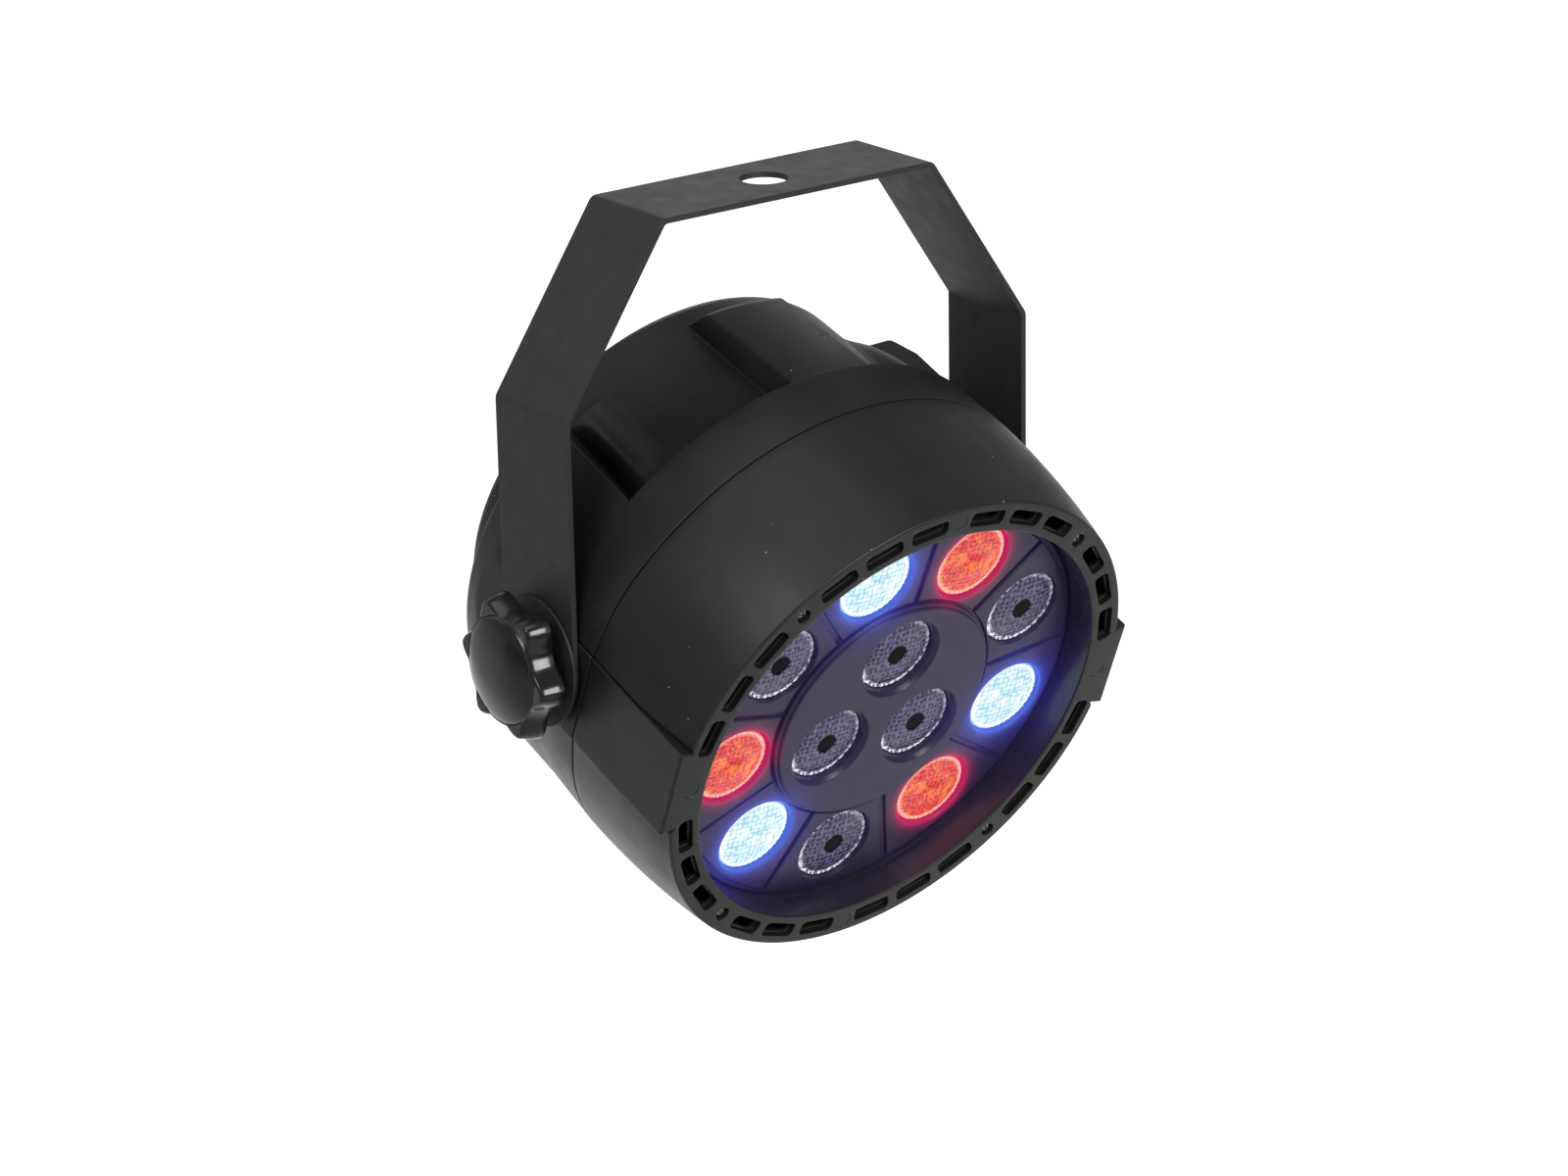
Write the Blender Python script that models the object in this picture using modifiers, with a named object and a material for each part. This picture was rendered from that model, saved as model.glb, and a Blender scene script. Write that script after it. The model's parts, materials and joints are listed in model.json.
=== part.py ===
"""A compact LED par can light that hangs from a bent strip yoke. Metres, +Z up, the light points to -Y.

The origin is the centre of the hanging hole, on the top outer surface of the yoke.
Everything inside and on the housing is modelled in the housing's own axes, from the tilt axis:
X to the right, Y up the front face and Z forward along the beam.
"""

from math import acos, cos, pi, radians, sin, sqrt, tau

import bmesh
import bpy
from mathutils import Matrix, Vector

MM = 0.001
GAP = 0.3 * MM  # between pieces that touch on the real light

# Yoke: one strip of sheet, bent four times, with a round end on each leg.
STRIP_WIDTH = 30 * MM
STRIP_THICKNESS = 1.5 * MM
YOKE_HALF_WIDTH = 73.3 * MM
YOKE_HEIGHT = 111.3 * MM  # from the tilt axis to the top outer surface
LOWER_BEND_HEIGHT = 65.6 * MM
TOP_HALF_LENGTH = 42.4 * MM
BEND_RADIUS = 3 * MM
HANGING_HOLE_RADIUS = 6.25 * MM
TILT = radians(21.86)  # nose down

# Housing: the seam parts the front shell from the rear shell.
FACE_Z = 56.4 * MM
SEAM_Z = 16.5 * MM
RIM_Z = -0.25 * MM
REAR_Z = -51.3 * MM
WALL = 2.2 * MM
BARREL_RADIUS = 73.24 * MM
# The barrel narrows with the square of the distance to its widest place.
BARREL_BULGE = 0.002435 / MM
BARREL_WIDEST_Z = 17.7 * MM
RIM_RADIUS = 72.46 * MM
FAR = 90 * MM  # beyond the housing, for what is cut away
FLAT_X = 71.5 * MM  # the housing is flat here, so that the yoke's legs swing past it
FLAT_HALF_WIDTH = 13 * MM
BLOCK_INNER_X = 67.5 * MM
BAND_BLOCK_BACK_Z = 0.8 * MM
TURN_STEPS = 48

# Front face.
MOUTH_RADIUS = 60.8 * MM
FACE_THICKNESS = 2 * MM
FACE_EDGE_RADIUS = 69 * MM
FACE_CHAMFER = 0.4 * MM
BEZEL_WALL = 1.6 * MM
BEZEL_BACK_Z = 43.2 * MM
SLOT_RADIUS = 65.05 * MM
SLOT_LENGTH = 10.9 * MM
SLOT_WIDTH = 4.1 * MM
SLOT_CORNER = 1.2 * MM
SLOT_ANGLES = (14, 26, 38, 58, 70, 82)  # in one quarter of the face, repeated in the other three
POST_ANGLE = 48
POST_RADIUS = 3.2 * MM
POST_TOP_Z = BEZEL_BACK_Z - GAP
POST_HOLE_RADIUS = 1.4 * MM
POST_HOLE_END_Z = 32 * MM
SCREW_RECESS_RADIUS = 1.9 * MM
SCREW_RECESS_Z = 54.4 * MM
FRONT_SCREW_OUTLINE = [(0, 55.7), (1.3, 55.7), (1.6, 55.4), (1.6, 54.7), (1.1, 54.7), (1.1, 34.6), (0, 34)]

# Drum behind the rim, with a raised pad at each quarter and a rounded ridge beside each side pad.
# Outlines are (radius, Z) in millimetres.
DRUM_FRONT_RADIUS = 63.4 * MM
DRUM_REAR_RADIUS = 60.2 * MM
DRUM_TAIL = [(60.2, -48.3), (59.4, -50.3), (57.4, -51.3)]
END_PAD_OUTLINE = [(72.3, 1), (70.2, -18), (68.1, -37), (60.4, -43), (59.6, -43), (62.3, 1)]
SIDE_PAD_OUTLINE = [(72.3, 1), (72.1, -28), (70, -37), (60.4, -43), (59.6, -43), (62.3, 1)]
PAD_INNER_Y = 40 * MM
PAD_HALF_WIDTH = 12 * MM
SIDE_PAD_HALF_ANGLE = radians(39)
RIDGE_RADIUS = 6.5 * MM
RIDGE_OFFSET = 63.2 * MM
RIDGE_FRONT_Z = 1.3 * MM
RIDGE_STRAIGHT_Z = -19 * MM
RIDGE_DOME = 19 * MM
LEDGE_RADIUS = 46 * MM
LEDGE_Z = -49.3 * MM

# Lenses and what is behind them.
OUTER_LENSES = 9
INNER_LENSES = 3
OUTER_LENS_OFFSET = 45.5 * MM
INNER_LENS_OFFSET = 16.8 * MM
OUTER_LENS_START = radians(27.1)
INNER_LENS_START = radians(87.1)
LENS_OUTLINE = [
    (0, 47.9), (5.5, 47.7), (9.9, 47.0), (10.8, 46.2), (10.8, 44.4), (9.5, 42), (4.2, 33.4), (0, 33.4)
]
LENS_HOLE_RADIUS = 10.8 * MM + GAP
LENS_STEPS = 16
LENS_PLATE_RADIUS = 60.3 * MM
LENS_PLATE_FRONT_Z = 48 * MM
LENS_PLATE_BACK_Z = 44 * MM
CENTRE_DISC_RADIUS = 32.5 * MM
CENTRE_DISC_Z = 49.5 * MM
GROOVE_START = CENTRE_DISC_RADIUS + 2 * MM
GROOVE_HALF_WIDTH = 0.5 * MM
GROOVE_DEPTH = 0.8 * MM
EMITTER_Z = 33 * MM
EMITTER_HALF_WIDTH = 1.75 * MM
LED_BOARD_Z = 30 * MM
LED_BOARD_RADIUS = 57 * MM
BOARD_THICKNESS = 1.6 * MM
HEAT_SINK_RADIUS = 56 * MM
HEAT_SINK_BASE_Z = 25.7 * MM
FIN_SPACING = 10 * MM
FIN_REACH = 54 * MM
FIN_BACK_Z = 10 * MM

# Rear panel and what it carries. The panel faces backwards, so its outer side has the lower Z.
PANEL_RADIUS = 53.7 * MM
PANEL_FRONT_Z = LEDGE_Z - GAP
PANEL_SCREW_OFFSET = 50 * MM
PANEL_HOLE_RADIUS = 1.6 * MM
REAR_SCREW_OUTLINE = [
    (0, -44), (1.2, -44.6), (1.2, -51.6), (2.5, -51.6), (2.5, -52.6), (1.6, -53.3), (0, -53.4)
]
DISPLAY_CENTRE = (0, 30 * MM)
DISPLAY_SIZE = (26 * MM, 12 * MM)
BUTTON_HEIGHT = 12 * MM
BUTTON_RADIUS = 3 * MM
BUTTON_OUTLINE = [
    (0, -46.4), (2, -46.4), (2, -48.3), (4.2, -48.3), (4.2, -49.3), (3, -49.3), (3, -52.3), (2.6, -52.8),
    (0, -52.8)
]
BUTTONS = {
    "mode_button": -22.5 * MM,
    "setup_button": -7.5 * MM,
    "up_button": 7.5 * MM,
    "down_button": 22.5 * MM,
}
SOCKET_CENTRES = {"dmx_in": (24 * MM, -10 * MM), "dmx_out": (-24 * MM, -10 * MM)}
SOCKET_RADIUS = 9.6 * MM
SOCKET_BARREL = [(0, -32), (9.6, -32), (9.6, -51.6), (13, -51.6), (13, -53.4)]
SOCKET_CUP = [(8, -53.4), (8, -38), (0, -38)]
SOCKET_CORE = [(8.6, -53.4), (8.6, -40), (7, -40), (7, -52.6), (0, -52.6)]
PIN_PLACES = [(3.8 * MM, 0), (-3.8 * MM, 0), (0, -3.8 * MM)]
INLET_CENTRE = (0, -33 * MM)
INLET_SIZE = (27 * MM, 20 * MM)
INLET_CAVITY = [(-11, -7.5), (11, -7.5), (11, 3.5), (7, 7.5), (-7, 7.5), (-11, 3.5)]
BLADE_PLACES = [(-7 * MM, -1.5 * MM), (7 * MM, -1.5 * MM), (0, 2.5 * MM)]
MICROPHONE_CENTRE = (40 * MM, 12 * MM)
MICROPHONE_RADIUS = 2.8 * MM
CONTROL_BOARD_Z = -43.7 * MM
POWER_BOARD_Z = -22.4 * MM

# Clamping knobs, measured outwards from the middle of the tilt axis.
STUD_OUTLINE = [(0, 81.2), (3.4, 81.2), (3.9, 80.7), (3.9, 59.5), (3.4, 59), (0, 59)]
PIVOT_HOLE_RADIUS = 4.35 * MM
INSERT_RADIUS = 6 * MM
INSERT_OUTLINE = [(6, 70), (6, 58), (4.2, 58), (4.2, 70)]
INSERT_HOLE_TOP = 70.3 * MM
BOSS_RADIUS = 9 * MM
BOSS_INNER = 57 * MM
WASHER_OUTLINE = [(16.9, 74.6), (16.9, 73.6), (4.35, 73.6), (4.35, 74.6)]
KNOB_HUB_OUTLINE = [
    (0, 87.5), (4.8, 87.3), (9.2, 86.5), (12.4, 85.3), (13.9, 84), (13.9, 80), (9, 79), (9, 74.9),
    (4.2, 74.9), (4.2, 81.5), (0, 81.5)
]
KNOB_TIP_RADIUS = 18.95 * MM
KNOB_VALLEY_RADIUS = 15.1 * MM
KNOB_LOBES = 6
KNOB_FRONT = 84.7 * MM
KNOB_BACK = 77.9 * MM
KNOB_TURN = radians(20.6)  # of the first lobe, from straight up towards the rear


def new_collection(name):
    collection = bpy.data.collections.new(name)
    bpy.context.scene.collection.children.link(collection)
    return collection


def new_material(name, colour, roughness, metallic=0.0):
    """A Principled material of one colour."""
    material = bpy.data.materials.new(name)
    material.use_nodes = True
    shader = material.node_tree.nodes["Principled BSDF"]
    shader.inputs["Base Color"].default_value = (*colour, 1)
    shader.inputs["Roughness"].default_value = roughness
    shader.inputs["Metallic"].default_value = metallic
    return material


def add_axes(name, location, rotation):
    """An empty that the parts on one set of axes are parented to."""
    axes = bpy.data.objects.new(name, None)
    axes.location = location
    axes.rotation_euler = rotation
    PARTS.objects.link(axes)
    return axes


def add_object(name, mesh, parent, location=(0, 0, 0)):
    obj = bpy.data.objects.new(name, mesh)
    PARTS.objects.link(obj)
    obj.parent = parent
    obj.location = location
    return obj


def turned(name, profile, parent, steps=TURN_STEPS, location=(0, 0, 0)):
    """Turns (radius, Z) points about Z. The profile runs down the outer side, and a ring's is closed."""
    points = [(radius, 0, height) for radius, height in profile]
    edges = [(i, i + 1) for i in range(len(points) - 1)]
    if profile[0][0] > 0:
        edges.append((len(points) - 1, 0))
    mesh = bpy.data.meshes.new(name)
    mesh.from_pydata(points, edges, [])
    obj = add_object(name, mesh, parent, location)
    screw = obj.modifiers.new("turn", "SCREW")
    screw.steps = steps
    screw.render_steps = steps
    screw.use_merge_vertices = True
    screw.merge_threshold = 0.01 * MM
    return obj


def extruded(name, outlines, low, high, parent, location=(0, 0, 0)):
    """A flat shape of (x, y) outlines, from low to high along Z. An outline inside another is a hole."""
    curve = bpy.data.curves.new(name, "CURVE")
    curve.dimensions = "2D"
    curve.fill_mode = "BOTH"
    curve.extrude = (high - low) / 2
    for outline in outlines:
        spline = curve.splines.new("POLY")
        spline.points.add(len(outline) - 1)
        for point, (x, y) in zip(spline.points, outline):
            point.co = (x, y, 0, 1)
        spline.use_cyclic_u = True
    drawing = bpy.data.objects.new(name, curve)
    CUTTERS.objects.link(drawing)
    mesh = bpy.data.meshes.new_from_object(drawing.evaluated_get(bpy.context.evaluated_depsgraph_get()))
    bpy.data.objects.remove(drawing)
    shape = bmesh.new()
    shape.from_mesh(mesh)
    bmesh.ops.remove_doubles(shape, verts=shape.verts, dist=0.001 * MM)
    bmesh.ops.translate(shape, verts=shape.verts, vec=(0, 0, (low + high) / 2))
    shape.to_mesh(mesh)
    shape.free()
    return add_object(name, mesh, parent, location)


def rods(name, centres, radius, low, high, parent, segments=16, location=(0, 0, 0)):
    """Round bars of one radius along Z, at one or more (x, y) centres."""
    shape = bmesh.new()
    for x, y in centres:
        middle = Matrix.Translation((x, y, (low + high) / 2))
        bmesh.ops.create_cone(
            shape,
            cap_ends=True,
            segments=segments,
            radius1=radius,
            radius2=radius,
            depth=high - low,
            matrix=middle,
        )
    mesh = bpy.data.meshes.new(name)
    shape.to_mesh(mesh)
    shape.free()
    return add_object(name, mesh, parent, location)


def blocks(name, boxes, parent, location=(0, 0, 0)):
    """Boxes, each from its low corner to its high corner."""
    shape = bmesh.new()
    for low, high in boxes:
        low, high = Vector(low), Vector(high)
        place = Matrix.Translation((low + high) / 2) @ Matrix.Diagonal((*(high - low), 1))
        bmesh.ops.create_cube(shape, size=1, matrix=place)
    mesh = bpy.data.meshes.new(name)
    shape.to_mesh(mesh)
    shape.free()
    return add_object(name, mesh, parent, location)


def combine(target, operation, tool):
    """Joins the tool to the target, cuts it away or keeps what both share. The tool goes with the cutters."""
    boolean = target.modifiers.new(tool.name, "BOOLEAN")
    boolean.operation = operation
    boolean.object = tool
    PARTS.objects.unlink(tool)
    CUTTERS.objects.link(tool)
    tool.hide_render = True
    tool.display_type = "WIRE"


def join(target, *tools):
    for tool in tools:
        combine(target, "UNION", tool)


def cut(target, *tools):
    for tool in tools:
        combine(target, "DIFFERENCE", tool)


def soften(obj, width):
    """Chamfers the piece's sharp edges."""
    bevel = obj.modifiers.new("edges", "BEVEL")
    bevel.width = width
    bevel.segments = 1
    bevel.limit_method = "ANGLE"
    bevel.angle_limit = radians(40)


def finish(obj, material):
    """Applies the modifiers, shades the round faces smooth and gives the piece its material."""
    mesh = bpy.data.meshes.new_from_object(obj.evaluated_get(bpy.context.evaluated_depsgraph_get()))
    obj.modifiers.clear()
    obj.data = mesh
    mesh.name = obj.name
    mesh.shade_smooth()
    mesh.set_sharp_from_angle(angle=radians(30))
    mesh.materials.clear()
    mesh.materials.append(material)
    mesh.polygons.foreach_set("material_index", [0] * len(mesh.polygons))
    return obj


def circle(radius, steps, centre=(0, 0)):
    """Points round a circle."""
    turns = [tau * i / steps for i in range(steps)]
    return [(centre[0] + radius * cos(turn), centre[1] + radius * sin(turn)) for turn in turns]


def rounded(corners, radius, steps, is_closed=True):
    """The corners of an outline, each made an arc of this radius that meets both of its sides."""
    points = []
    count = len(corners)
    for i, corner in enumerate(corners):
        if not is_closed and i in (0, count - 1):
            points.append(corner)
            continue
        here = Vector(corner)
        back = (Vector(corners[i - 1]) - here).normalized()
        ahead = (Vector(corners[(i + 1) % count]) - here).normalized()
        half_angle = acos(max(-1, min(1, back.dot(ahead)))) / 2
        centre = here + (back + ahead).normalized() * radius / sin(half_angle)
        start = here + back * radius / (sin(half_angle) / cos(half_angle)) - centre
        end = here + ahead * radius / (sin(half_angle) / cos(half_angle)) - centre
        for step in range(steps + 1):
            arm = start.slerp(end, step / steps) * radius
            points.append(tuple(centre + arm))
    return points


def rectangle(size, centre=(0, 0), corner=0.0, turn=0.0):
    """A rectangle with rounded corners, turned about its centre."""
    half_x, half_y = size[0] / 2, size[1] / 2
    corners = [(-half_x, -half_y), (half_x, -half_y), (half_x, half_y), (-half_x, half_y)]
    outline = rounded(corners, corner, 1) if corner else corners
    return [
        (centre[0] + x * cos(turn) - y * sin(turn), centre[1] + x * sin(turn) + y * cos(turn))
        for x, y in outline
    ]


def around(count, offset, start=0.0):
    """Places at even angles round the beam axis."""
    turns = [start + tau * i / count for i in range(count)]
    return [(offset * cos(turn), offset * sin(turn)) for turn in turns]


def metres(outline):
    """An outline given in millimetres."""
    return [(x * MM, y * MM) for x, y in outline]


def post_places():
    """The places of the four long screws, which sit closer to the top and bottom than to the sides."""
    angles = [POST_ANGLE, 180 - POST_ANGLE, 180 + POST_ANGLE, 360 - POST_ANGLE]
    return [(SLOT_RADIUS * cos(radians(angle)), SLOT_RADIUS * sin(radians(angle))) for angle in angles]


def barrel_radius(z):
    """The outer radius of the front shell at this distance in front of the tilt axis."""
    return BARREL_RADIUS - BARREL_BULGE * (z - BARREL_WIDEST_Z) ** 2


def make_yoke():
    """A sheet along the strip's outer line, made thick inwards and trimmed to round leg ends."""
    leg_end = -(STRIP_WIDTH / 2 + 2 * MM)
    line = [
        (YOKE_HALF_WIDTH, leg_end),
        (YOKE_HALF_WIDTH, LOWER_BEND_HEIGHT),
        (TOP_HALF_LENGTH, YOKE_HEIGHT),
        (-TOP_HALF_LENGTH, YOKE_HEIGHT),
        (-YOKE_HALF_WIDTH, LOWER_BEND_HEIGHT),
        (-YOKE_HALF_WIDTH, leg_end),
    ]
    path = rounded(line, BEND_RADIUS, 3, is_closed=False)
    mesh = bpy.data.meshes.new("yoke")
    sides = [-STRIP_WIDTH / 2, STRIP_WIDTH / 2]
    points = [(x, y, z - YOKE_HEIGHT) for x, z in path for y in sides]
    faces = [(2 * i, 2 * i + 1, 2 * i + 3, 2 * i + 2) for i in range(len(path) - 1)]
    mesh.from_pydata(points, [], faces)
    yoke = add_object("yoke", mesh, None)
    solidify = yoke.modifiers.new("thickness", "SOLIDIFY")
    solidify.thickness = STRIP_THICKNESS
    solidify.offset = -1
    solidify.use_even_offset = True

    half_turn = [pi * i / 12 for i in range(13)]
    end = [(STRIP_WIDTH / 2 * cos(turn), -STRIP_WIDTH / 2 * sin(turn)) for turn in half_turn]
    far = YOKE_HEIGHT + 5 * MM
    beside = STRIP_WIDTH / 2 + MM
    side_view = [*end, (-beside, 0), (-beside, far), (beside, far), (beside, 0)]
    trim = extruded("yoke_trim", [side_view], -YOKE_HALF_WIDTH - MM, YOKE_HALF_WIDTH + MM, tilt_axes)
    combine(yoke, "INTERSECT", trim)
    pivots = rods("yoke_pivot_holes", [(0, 0)], PIVOT_HOLE_RADIUS, -FAR, FAR, tilt_axes, 16)
    hanging = rods("yoke_hanging_hole", [(0, 0)], HANGING_HOLE_RADIUS, -5 * MM, 5 * MM, None, 24)
    cut(yoke, pivots, hanging)
    finish(yoke, grey_coat)


def make_front_shell():
    """The barrel in front of the seam, the face with its slots, and the short wall round the mouth."""
    back = SEAM_Z + GAP
    face_back = FACE_Z - FACE_THICKNESS
    stations = [51 * MM, 43 * MM, 34 * MM, 25 * MM, back]
    chamfer_z = FACE_Z - FACE_CHAMFER
    outside = [(FACE_EDGE_RADIUS, FACE_Z), (69.6 * MM, chamfer_z), (barrel_radius(55 * MM), 55 * MM)]
    outside += [(barrel_radius(z), z) for z in stations]
    inside = [(barrel_radius(z) - WALL, z) for z in reversed(stations)]
    inside += [(barrel_radius(face_back) - WALL, face_back), (MOUTH_RADIUS + BEZEL_WALL, face_back)]
    bezel = [
        (MOUTH_RADIUS + BEZEL_WALL, BEZEL_BACK_Z),
        (MOUTH_RADIUS, BEZEL_BACK_Z),
        (MOUTH_RADIUS, chamfer_z),
        (MOUTH_RADIUS + FACE_CHAMFER, FACE_Z),
    ]
    shell = turned("front_shell", outside + inside + bezel, housing)
    places = post_places()
    post_back = BEZEL_BACK_Z + 0.1 * MM  # off the wall's end, so that no faces meet in one plane
    posts = rods("front_posts", places, POST_RADIUS, post_back, FACE_Z - MM, housing, 12)
    join(shell, side_blocks("front_side_blocks", back, FACE_Z), posts)
    cut(
        shell,
        side_trim("front_side_trim"),
        face_slots(),
        rods("front_screw_recesses", places, SCREW_RECESS_RADIUS, SCREW_RECESS_Z, FAR, housing, 12),
        rods("front_screw_holes", places, POST_HOLE_RADIUS, POST_TOP_Z - MM, SCREW_RECESS_Z + MM, housing, 8),
    )
    finish(shell, black_shell)


def both_sides(name, low, high):
    """A box at the right of the housing and its mirror image at the left."""
    left_low, left_high = (-high[0], low[1], low[2]), (-low[0], high[1], high[2])
    return blocks(name, [(low, high), (left_low, left_high)], housing)


def side_blocks(name, back, front):
    """The block at each side of a shell, a little too wide until the trim."""
    low = (BLOCK_INNER_X, -FLAT_HALF_WIDTH, back)
    return both_sides(name, low, (FLAT_X + MM, FLAT_HALF_WIDTH, front))


def side_trim(name):
    """What is cut off both sides of a shell to leave its flats."""
    half_width = 3 * FLAT_HALF_WIDTH
    return both_sides(name, (FLAT_X, -half_width, -FAR), (FAR, half_width, FAR))


def face_slots():
    """The vent slots round the face, six in each quarter, mirrored about both axes of the face."""
    angles = []
    for angle in SLOT_ANGLES:
        angles += [angle, 180 - angle, 180 + angle, 360 - angle]
    outlines = []
    for angle in map(radians, angles):
        centre = (SLOT_RADIUS * cos(angle), SLOT_RADIUS * sin(angle))
        outlines.append(rectangle((SLOT_WIDTH, SLOT_LENGTH), centre, SLOT_CORNER, angle))
    return extruded("face_slots", outlines, FACE_Z - 2 * FACE_THICKNESS, FACE_Z + MM, housing)


def make_rear_shell():
    """The band behind the seam, the drum with its pads and ridges, and a ledge for the rear panel."""
    step_z = RIM_Z + WALL
    profile = [
        (BARREL_RADIUS, SEAM_Z),
        (RIM_RADIUS, RIM_Z),
        (DRUM_FRONT_RADIUS, RIM_Z),
        *metres(DRUM_TAIL),
        (PANEL_RADIUS + GAP, REAR_Z),
        (PANEL_RADIUS + GAP, LEDGE_Z),
        (LEDGE_RADIUS, LEDGE_Z),
        (LEDGE_RADIUS, LEDGE_Z + WALL),
        (DRUM_REAR_RADIUS - WALL, LEDGE_Z + WALL),
        (DRUM_FRONT_RADIUS - WALL, step_z),
        (BARREL_RADIUS - WALL, step_z),
        (BARREL_RADIUS - WALL, SEAM_Z),
    ]
    shell = turned("rear_shell", profile, housing)
    insert_hole = INSERT_RADIUS + GAP
    boss_top = FLAT_X + 0.5 * MM
    join(
        shell,
        pads("end_pads", END_PAD_OUTLINE, end_pad_mask()),
        pads("side_pads", SIDE_PAD_OUTLINE, side_pad_mask()),
        ridges(),
        side_blocks("rear_side_blocks", BAND_BLOCK_BACK_Z, SEAM_Z - GAP),
        rods("rear_posts", post_places(), POST_RADIUS, 0.5 * MM, POST_TOP_Z, housing, 12),
        rods("left_boss", [(0, 0)], BOSS_RADIUS, BOSS_INNER, boss_top, left_side),
        rods("right_boss", [(0, 0)], BOSS_RADIUS, BOSS_INNER, boss_top, right_side),
    )
    panel_holes = around(4, PANEL_SCREW_OFFSET, pi / 4)
    cut(
        shell,
        side_trim("rear_side_trim"),
        rods("post_holes", post_places(), POST_HOLE_RADIUS, POST_HOLE_END_Z, POST_TOP_Z + MM, housing, 8),
        rods("panel_screw_holes", panel_holes, PANEL_HOLE_RADIUS, REAR_Z + MM, -45 * MM, housing, 8),
        rods("left_insert_hole", [(0, 0)], insert_hole, 50 * MM, INSERT_HOLE_TOP, left_side, 16),
        rods("right_insert_hole", [(0, 0)], insert_hole, 50 * MM, INSERT_HOLE_TOP, right_side, 16),
        rods("left_stud_hole", [(0, 0)], PIVOT_HOLE_RADIUS, 60 * MM, FAR, left_side, 16),
        rods("right_stud_hole", [(0, 0)], PIVOT_HOLE_RADIUS, 60 * MM, FAR, right_side, 16),
    )
    # This many tools leave gaps with the exact solver, and the manifold one keeps the shell closed.
    for modifier in shell.modifiers:
        if modifier.type == "BOOLEAN":
            modifier.solver = "MANIFOLD"
    finish(shell, black_shell)


def pads(name, outline, mask):
    """Raised pads on the drum: a turned ring, kept only inside the mask."""
    ring = turned(name, metres(outline), housing)
    combine(ring, "INTERSECT", mask)
    return ring


def end_pad_mask():
    upper = ((-PAD_HALF_WIDTH, PAD_INNER_Y, -FAR), (PAD_HALF_WIDTH, FAR, FAR))
    lower = ((-PAD_HALF_WIDTH, -FAR, -FAR), (PAD_HALF_WIDTH, -PAD_INNER_Y, FAR))
    return blocks("end_pad_mask", [upper, lower], housing)


def side_pad_mask():
    """A wedge at each side, whose edges run out from the beam axis."""
    rise = sin(SIDE_PAD_HALF_ANGLE) / cos(SIDE_PAD_HALF_ANGLE)
    near = PAD_INNER_Y
    right = [(near, -near * rise), (FAR, -FAR * rise), (FAR, FAR * rise), (near, near * rise)]
    left = [(-x, -y) for x, y in right]
    return extruded("side_pad_mask", [right, left], -FAR, FAR, housing)


def ridges():
    """Four rounded ridges along the drum, over the long screws' posts, each with a domed rear end."""
    outline = [(0, RIDGE_FRONT_Z), (RIDGE_RADIUS, RIDGE_FRONT_Z), (RIDGE_RADIUS, RIDGE_STRAIGHT_Z)]
    for turn in (radians(30), radians(60)):
        outline.append((RIDGE_RADIUS * cos(turn), RIDGE_STRAIGHT_Z - RIDGE_DOME * sin(turn)))
    outline.append((0, RIDGE_STRAIGHT_Z - RIDGE_DOME))
    first, *others = [
        turned(f"ridge_{i + 1}", outline, housing, 16, (x, y, 0))
        for i, (x, y) in enumerate(around(4, RIDGE_OFFSET, pi / 4))
    ]
    join(first, *others)
    return first


def make_screws():
    """Four long screws from the face into the rear shell's posts, and four short ones in the rear panel."""
    groups = [
        ("front_screw", FRONT_SCREW_OUTLINE, post_places()),
        ("rear_screw", REAR_SCREW_OUTLINE, around(4, PANEL_SCREW_OFFSET, pi / 4)),
    ]
    for name, outline, places in groups:
        copies(name, turned(f"{name}_1", metres(outline), housing, 10), places, zinc)


def copies(name, first, places, material):
    """Finishes the first piece, and puts it and its copies at the places."""
    finish(first, material)
    for i, (x, y) in enumerate(places):
        obj = first if i == 0 else add_object(f"{name}_{i + 1}", first.data, first.parent)
        obj.location = (x, y, 0)


def make_lenses():
    """Round lenses that taper back to their emitters."""
    for name, places in (("outer_lens", outer_places()), ("inner_lens", inner_places())):
        copies(name, turned(f"{name}_1", metres(LENS_OUTLINE), housing, LENS_STEPS), places, clear_plastic)


def outer_places():
    return around(OUTER_LENSES, OUTER_LENS_OFFSET, OUTER_LENS_START)


def inner_places():
    return around(INNER_LENSES, INNER_LENS_OFFSET, INNER_LENS_START)


def make_lens_plate():
    """A plate with a hole for each lens, a raised disc in the middle and grooves between the outer lenses."""
    outer = [circle(LENS_HOLE_RADIUS, LENS_STEPS, place) for place in outer_places()]
    inner = [circle(LENS_HOLE_RADIUS, LENS_STEPS, place) for place in inner_places()]
    rim = circle(LENS_PLATE_RADIUS, TURN_STEPS)
    outlines = [rim, *outer, *inner]
    plate = extruded("lens_plate", outlines, LENS_PLATE_BACK_Z, LENS_PLATE_FRONT_Z, housing)
    disc_edge = circle(CENTRE_DISC_RADIUS, 36)
    join(plate, extruded("centre_disc", [disc_edge, *inner], LENS_PLATE_BACK_Z + MM, CENTRE_DISC_Z, housing))
    low = (GROOVE_START, -GROOVE_HALF_WIDTH, LENS_PLATE_FRONT_Z - GROOVE_DEPTH)
    high = (LENS_PLATE_RADIUS + MM, GROOVE_HALF_WIDTH, LENS_PLATE_FRONT_Z + MM)
    for i in range(OUTER_LENSES):
        groove = blocks(f"groove_{i + 1}", [(low, high)], housing)
        groove.rotation_euler = (0, 0, OUTER_LENS_START + (i + 0.5) * tau / OUTER_LENSES)
        cut(plate, groove)
    finish(plate, black_gloss)


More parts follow.
